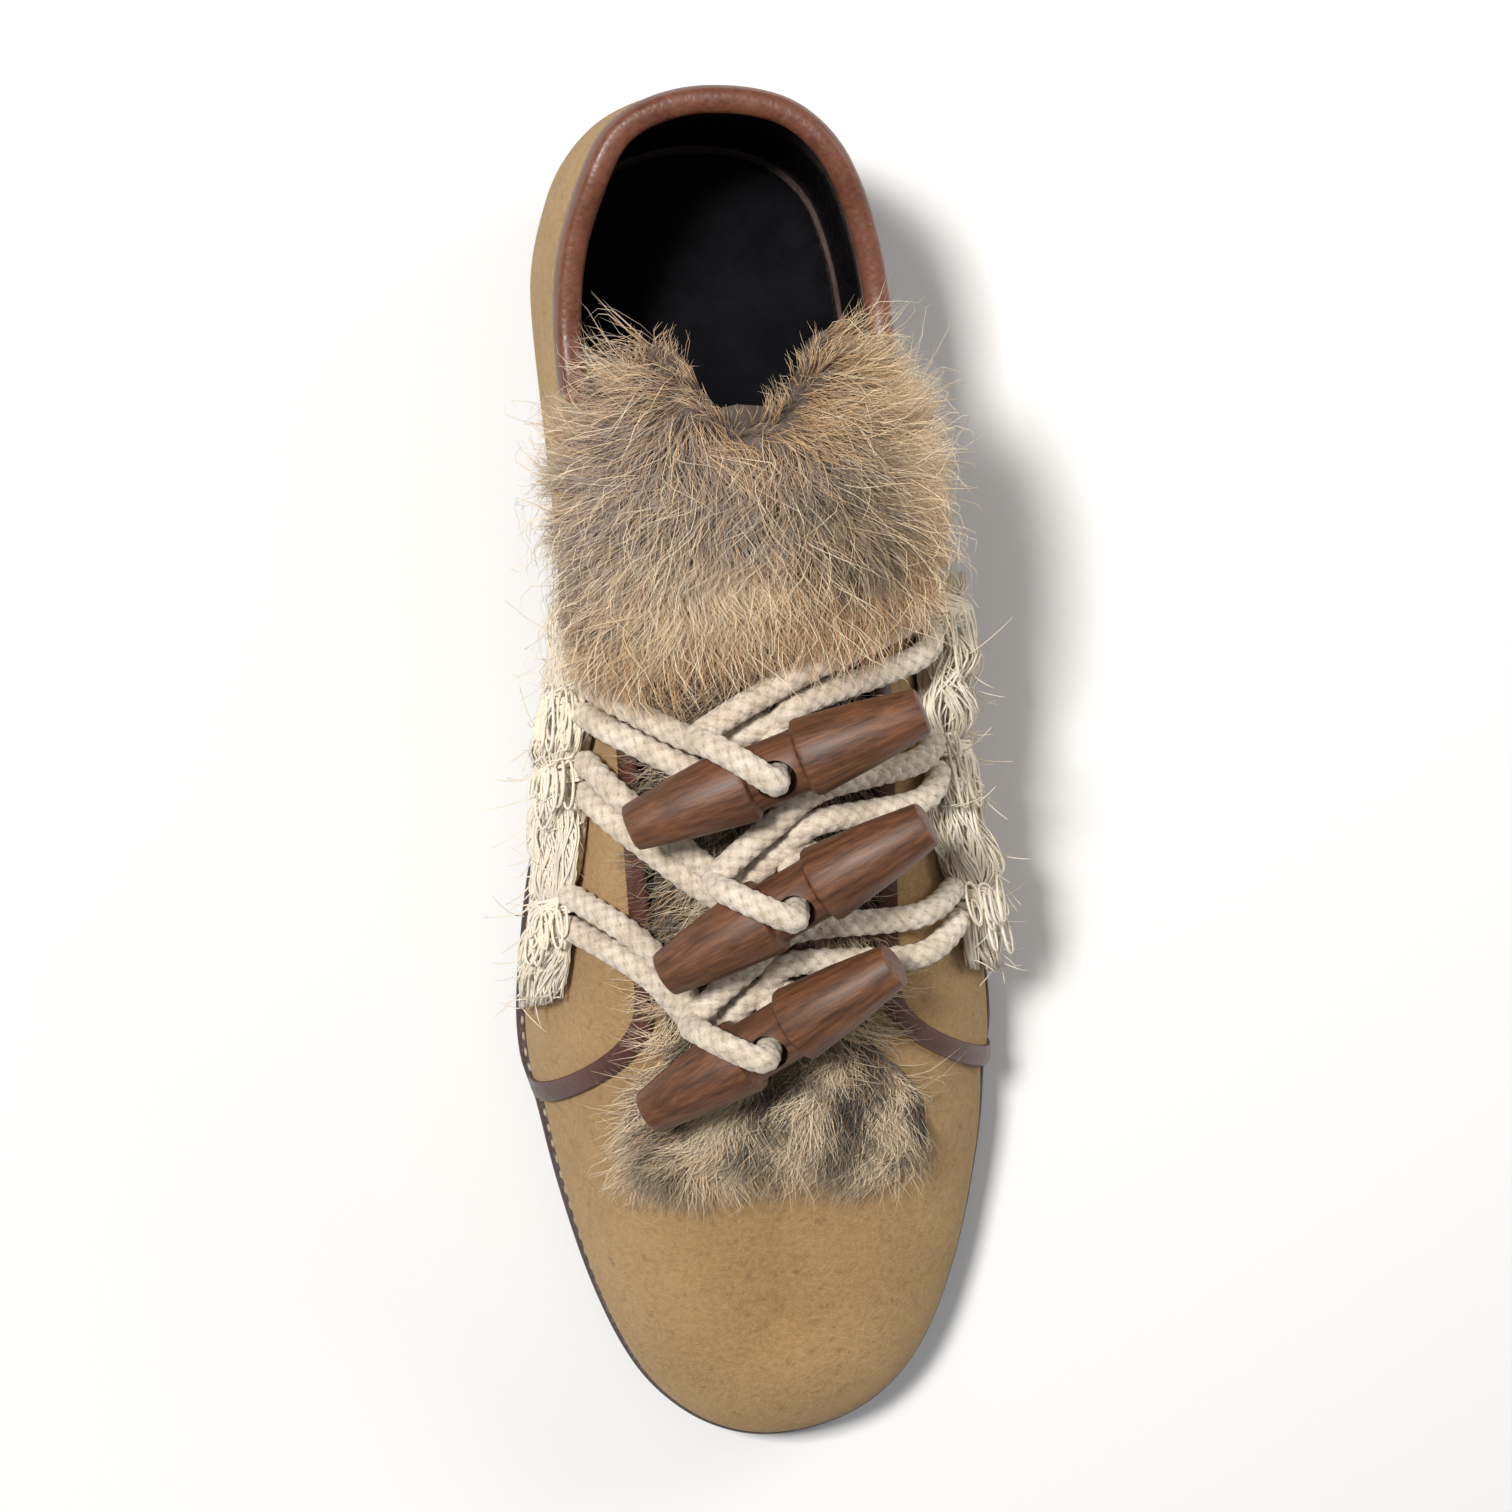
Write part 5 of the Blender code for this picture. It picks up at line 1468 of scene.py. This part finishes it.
def patch(t, q, middle_t, middle_q, half_t, half_q):
    """Share of a soft patch of colour at a place on the fur."""
    return exp(-((t - middle_t) / half_t) ** 2 - ((q - middle_q) / half_q) ** 2)


def cuff_mix(spot, t, q):
    grey = patch(t, q, 0.34, -0.48, 0.22, 0.36) + 0.8 * patch(t, q, 0.32, 0.0, 0.14, 0.22)
    dark = (patch(t, q, 0.36, 0.28, 0.09, 0.15) + patch(t, q, 0.57, 0.40, 0.08, 0.16)
            + 0.6 * patch(t, q, 0.55, -0.90, 0.16, 0.16))
    pale = patch(t, q, 0.24, 0.68, 0.18, 0.30) + patch(t, q, 0.62, -0.22, 0.12, 0.25)
    warm = patch(t, q, 0.84, 0.15, 0.14, 0.60)
    cloud = (0.5 + 0.5 * sin(190 * spot.x + 80 * spot.y)
             * sin(140 * spot.y - 60 * spot.x))
    return normal_mix(0.06 + 3.5 * grey, 0.10 + 0.3 * cloud, 0.85, 0.08 + 1.8 * warm,
                      0.03 + 6.0 * dark + 0.25 * cloud, 0.15 + 4.0 * pale)


def apron_mix(spot, t, q):
    lock = 0.5 + 0.5 * sin(360 * spot.x + 2.2 * sin(95 * spot.y))
    cloud = 0.5 + 0.5 * sin(120 * spot.y + 40 * spot.x)
    return normal_mix(0.20, 0.25, 0.20 + 0.5 * cloud, 0.08 + 0.2 * cloud, 0.15 + 5.0 * lock**3,
                      0.20 + 2.4 * (1 - lock) ** 2)


def guard_mix(spot, t, q):
    return normal_mix(0.0, 0.1, 0.3, 0.1, 0.02, 1.0)


# Each coat: name, fur, hairs, spread, comb, length, height over the fur, thickness, colours
COATS = [
    ("cuff_coat", cuff_spot, 7200, ((0.0, 0.90), (-0.96, 0.90)), cuff_comb, 0.0135, 0.0,
     0.00009, cuff_mix, dict(gather=0.6)),
    ("cuff_top", cuff_spot, 7600, ((0.03, 0.86), (-0.93, 0.86)), cuff_comb, 0.0110, 0.0012,
     0.00006, cuff_mix, dict(tip_pale=0.6)),
    ("cuff_rim", cuff_spot, 900, ((0.0, 0.08), (-0.85, 0.80)), rim_comb, 0.0050, 0.0,
     0.00008, cuff_mix, dict(frizz=0.0003)),
    ("cuff_guard", cuff_spot, 1400, ((0.0, 0.86), (-0.95, 0.86)), cuff_comb, 0.0160, 0.0030,
     0.00009, guard_mix, dict(steps=6, tip_pale=0.85, frizz=0.0022, gather=0.8)),
    ("strip_coat", apron_spot, 4400, ((0.0, 0.80), (-1.0, 1.0)), strip_comb, 0.0115, 0.0020,
     0.00009, apron_mix, {}),
    ("apron_coat", apron_spot, 7000, ((0.72, 0.93), (-0.96, 0.97)), apron_comb, 0.0125, 0.0008,
     0.00008, apron_mix, dict(tip_pale=0.8)),
]
for *coat, manner in COATS:
    grow(*coat, **manner)


# Yarn
# Soft ivory cotton yarn hangs along both quarters. The cords are knotted round it row by
# row, and between the knots it bulges, frays and hangs in loops.
FRINGE_DEPTH = 0.0095
YARN_GAP = 0.0010
FRINGE = {
    1: {"foot": (0.4, 0.44, 0.49, 0.54, 0.6, 0.66),
        "top": (0.66, 0.65, 0.615, 0.585, 0.505, 0.38),
        "low": (0.43, 0.38, 0.38, 0.33, 0.3, 0.27),
        "depth": (1.0, 1.15, 0.7, 0.8, 0.85, 0.45)},
    -1: {"foot": (0.4, 0.44, 0.48, 0.53, 0.6, 0.66),
         "top": (0.66, 0.66, 0.63, 0.58, 0.49, 0.4),
         "low": (0.48, 0.42, 0.4, 0.37, 0.33, 0.27),
         "depth": (0.45, 0.75, 0.8, 0.6, 0.55, 0.45)},
}
YARN_START = 0.355
YARN_END = 0.660
YARN_STEPS = 32
YARN_LEVELS = 8                 # places up each section of the yarn
YARN_MIDDLE = 0.60              # where the knots gather the yarn, from its low edge
KNOT_HALF = 0.013
COTTON = (0.97, 0.87, 0.74)
HANG_THICK = 0.00030
FRAY_THICK = 0.00020
LOOP_THICK = 0.00034
FRAYS = 110
BUNDLES = 9
PER_BUNDLE = 38
LOOPS = 12
WRAPS = 14
yarn_finish = strand_finish("ivory_yarn", Roughness=0.9, Specular_IOR_Level=0.15,
                            Sheen_Weight=0.3)


def yarn_share(step):
    return YARN_START + (YARN_END - YARN_START) * step / YARN_STEPS


def knot_share(side, row):
    """Share along the sole at the middle of a row's knot."""
    return row["lateral_foot" if side > 0 else "medial_foot"] + 0.5 * STRAND_STEP


@lru_cache(maxsize=None)
def yarn_axes(side, step):
    """One section of the hanging yarn: its depth, and places and directions up the wall."""
    rows = FRINGE[side]
    share = yarn_share(step)
    top = INSTEP_HEIGHT * (ease(rows["foot"], rows["top"], share) + 0.07)
    low = INSTEP_HEIGHT * ease(rows["foot"], rows["low"], share)
    depth = FRINGE_DEPTH * ease(rows["foot"], rows["depth"], share)
    at = station(share)
    spots = []
    for k in range(YARN_LEVELS + 1):
        v = v_at_height(side, at, low + (top - low) * k / YARN_LEVELS)
        spots.append((form(side, at, v), skin_axes(side, at, v)[2]))
    return depth, spots


def yarn_spot(side, step, across, lift):
    """Point in the yarn: step along it, across from its low edge to its top."""
    step = min(max(step, 0.0), YARN_STEPS - 0.001)
    place = min(max(across, 0.0), 0.999) * YARN_LEVELS
    k = int(place)
    ends = []
    for end in (int(step), int(step) + 1):
        depth, spots = yarn_axes(side, end)
        ends.append((spots[k][0].lerp(spots[k + 1][0], place - k),
                     spots[k][1].lerp(spots[k + 1][1], place - k), depth))
    rest = step - int(step)
    spot = ends[0][0].lerp(ends[1][0], rest)
    out = ends[0][1].lerp(ends[1][1], rest).normalized()
    depth = ends[0][2] + (ends[1][2] - ends[0][2]) * rest
    swell = sin(pi * (0.12 + 0.76 * unit(across))) ** 0.6
    return spot + out * (QUARTER_STEP + YARN_GAP + depth * swell * lift), out


def knot_squeeze(side, step):
    """How tightly a knot gathers the yarn at a step, 1 at the knot's middle."""
    return max(exp(-((yarn_share(step) - knot_share(side, row)) / KNOT_HALF) ** 2)
               for row in TOGGLE_ROWS)


def cotton_tint(count, steps):
    """Ivory, drawn a little lighter or darker and yellower for each strand."""
    tone = 0.86 + 0.12 * draw.random((count, 1, 1))
    tints = np.ones((count, steps, 4))
    tints[:, :, :3] = np.array(COTTON) * tone
    tints[:, :, 2] *= 0.90 + 0.12 * draw.random((count, 1))
    return tints


# Painted shade: the yarn's inside is cream cotton, coloured darker brown in the gaps between its
# strands, by the same streaks that bump it
yarn_core_finish, tree, shader = new_finish("yarn_core", Roughness=0.95)
drawn_out = add(tree, "ShaderNodeMapping", {"Vector": object_place(tree),
                "Scale": (1.0, 0.10, 1.0)})
core_strands = noise_of(tree, drawn_out.outputs["Vector"], 1300.0, 3.0, distortion=0.5)
gap_shade_mask = ranged(tree, core_strands, 0.35, 0.62)
wire(tree, shader, Normal=raised(tree, core_strands, 0.0012),
     Base_Color=tone_of(tree, gap_shade_mask, (0.40, 0.31, 0.20, 1.0), (0.86, 0.76, 0.60, 1.0)))
CORE_COLUMNS = 70
CORE_ROWS = 14
CORE_LIFT = 0.62


def core_yarn(side, name):
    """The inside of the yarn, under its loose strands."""
    def place(i, j, share):
        step = 3.0 + (YARN_STEPS - 7.0) * i / CORE_COLUMNS
        slack = 1 - knot_squeeze(side, step)
        across = 0.10 + 0.84 * j / CORE_ROWS - YARN_MIDDLE
        across = YARN_MIDDLE + across * (0.40 + 0.56 * slack)
        lumps = 0.75 + 0.25 * sin(1.1 * j + 0.5 * step) * sin(0.9 * step - 0.7 * j)
        return yarn_spot(side, step, across, share * lumps * (0.5 + 0.5 * slack))[0]

    add_piece(name, shell(CORE_COLUMNS, CORE_ROWS, place, (0.0, CORE_LIFT)), yarn_core_finish,
              (), ALL_SMOOTH)


def hang_yarn(side, name, stands_for):
    """Loose bundles of fine strands, gathered at the knots and slack between them."""
    strands = BUNDLES * PER_BUNDLE
    lines = np.zeros((strands, YARN_STEPS + 1, 3))
    widths = np.zeros((strands, YARN_STEPS + 1))
    for k in range(strands):
        if k % PER_BUNDLE == 0:
            middle = 0.08 + 0.86 * (k / PER_BUNDLE + 0.5) / BUNDLES
            depth = 0.30 + 0.45 * draw.random()
            waves = draw.random(3) * TURN
        off = 0.15 * sqrt(draw.random())
        angle = TURN * draw.random()
        first = 7 * draw.random() ** 1.3
        last = YARN_STEPS - 8 * draw.random() ** 2
        own = draw.random(2) * TURN
        for n in range(YARN_STEPS + 1):
            step = first + (last - first) * n / YARN_STEPS
            slack = 1 - knot_squeeze(side, step)
            sway = 0.13 * sin(0.42 * step + waves[0]) + 0.05 * sin(1.1 * step + own[0])
            twist = angle + 0.28 * step
            fan = 1 + 1.1 * max(step / YARN_STEPS - 0.8, 0.0)
            across = middle + sway * slack + off * cos(twist)
            across = YARN_MIDDLE + (across - YARN_MIDDLE) * fan * (0.42 + 0.58 * slack)
            lift = (depth + 0.22 * slack * sin(0.6 * step + waves[1])
                    + 1.6 * off * sin(twist))
            lift = max(lift, 0.08) * (0.55 + 0.55 * slack)
            lines[k, n] = yarn_spot(side, step, across, lift)[0]
            widths[k, n] = HANG_THICK * (0.6 if n in (0, YARN_STEPS) else 1.0)
    lines[:, 1:-1] = (lines[:, :-2] + 2 * lines[:, 1:-1] + lines[:, 2:]) / 4
    return sweep_strands(name, lines, widths, cotton_tint(strands, YARN_STEPS + 1), 3,
                         yarn_finish, [stands_for])


def fray_yarn(side, name):
    """Loose ends that stand and curl off the yarn, most of them towards the toe."""
    steps = 8
    t = np.linspace(0.0, 1.0, steps)
    lines = np.zeros((FRAYS, steps, 3))
    widths = np.zeros((FRAYS, steps))
    for k in range(FRAYS):
        step = YARN_STEPS * draw.random() ** 0.8
        across = draw.random()
        spot, out = yarn_spot(side, step, across, 0.6 + 0.4 * draw.random())
        long = 0.0030 + 0.0045 * draw.random()
        way = out * (0.35 + 0.5 * draw.random()) + Vector((0, -0.8, -0.25))
        way += Vector(draw.normal(size=3)) * 0.45
        way.normalize()
        turn = Vector(draw.normal(size=3)).cross(way) * 1.2
        sag = Vector((0, 0, -1)) * 0.0022 * draw.random()
        lines[k] = strand(spot, (long * t, way), (long * 0.6 * t**2, turn), (t**2, sag))
        widths[k] = FRAY_THICK * (1 - 0.6 * t**2)
    return sweep_strands(name, lines, widths, cotton_tint(FRAYS, steps), 3, yarn_finish)


def loop_yarn(side, name):
    """Small loops and wraps of yarn round each knot."""
    steps = 22
    t = np.linspace(0.0, 1.0, steps)
    lines = []
    for row in TOGGLE_ROWS:
        middle = YARN_STEPS * (knot_share(side, row) - YARN_START) / (YARN_END - YARN_START)
        for _ in range(LOOPS):
            step = middle + draw.normal() * 0.8
            spot, out = yarn_spot(side, step, 0.55 + 0.4 * draw.random(), 1.0)
            size = 0.0030 + 0.0035 * draw.random()
            way = Vector((0, -1, -0.35)) + Vector(draw.normal(size=3)) * 0.35
            way = (way - out * way.dot(out)).normalized()
            across = out.cross(way)
            turn = 2 * pi * t
            lines.append(strand(spot, (size * (1 - np.cos(turn)) * 0.8, way),
                                (size * 0.45 * np.sin(turn), across),
                                (0.0012 * np.sin(pi * t) + 0.0003, out)))
        for _ in range(WRAPS):
            shift = 0.45 * draw.normal()
            tilt = 0.75 * draw.normal()
            wrap = []
            for n in range(steps):
                angle = pi * (0.04 + 0.92 * n / (steps - 1))
                step = middle + shift + tilt * cos(angle)
                across = YARN_MIDDLE + 0.34 * cos(angle)
                wrap.append(yarn_spot(side, step, across, 0.30 + 0.75 * sin(angle))[0])
            lines.append(np.array(wrap))
    lines = np.array(lines)
    widths = np.full(lines.shape[:2], LOOP_THICK)
    return sweep_strands(name, lines, widths, cotton_tint(len(lines), steps), 4, yarn_finish)


for side, name in ((1, "lateral"), (-1, "medial")):
    core_yarn(side, "yarn_core_" + name)
    hang_yarn(side, "yarn_" + name, "fringe_" + name)
    fray_yarn(side, "frayed_ends_" + name)
    loop_yarn(side, "yarn_loops_" + name)
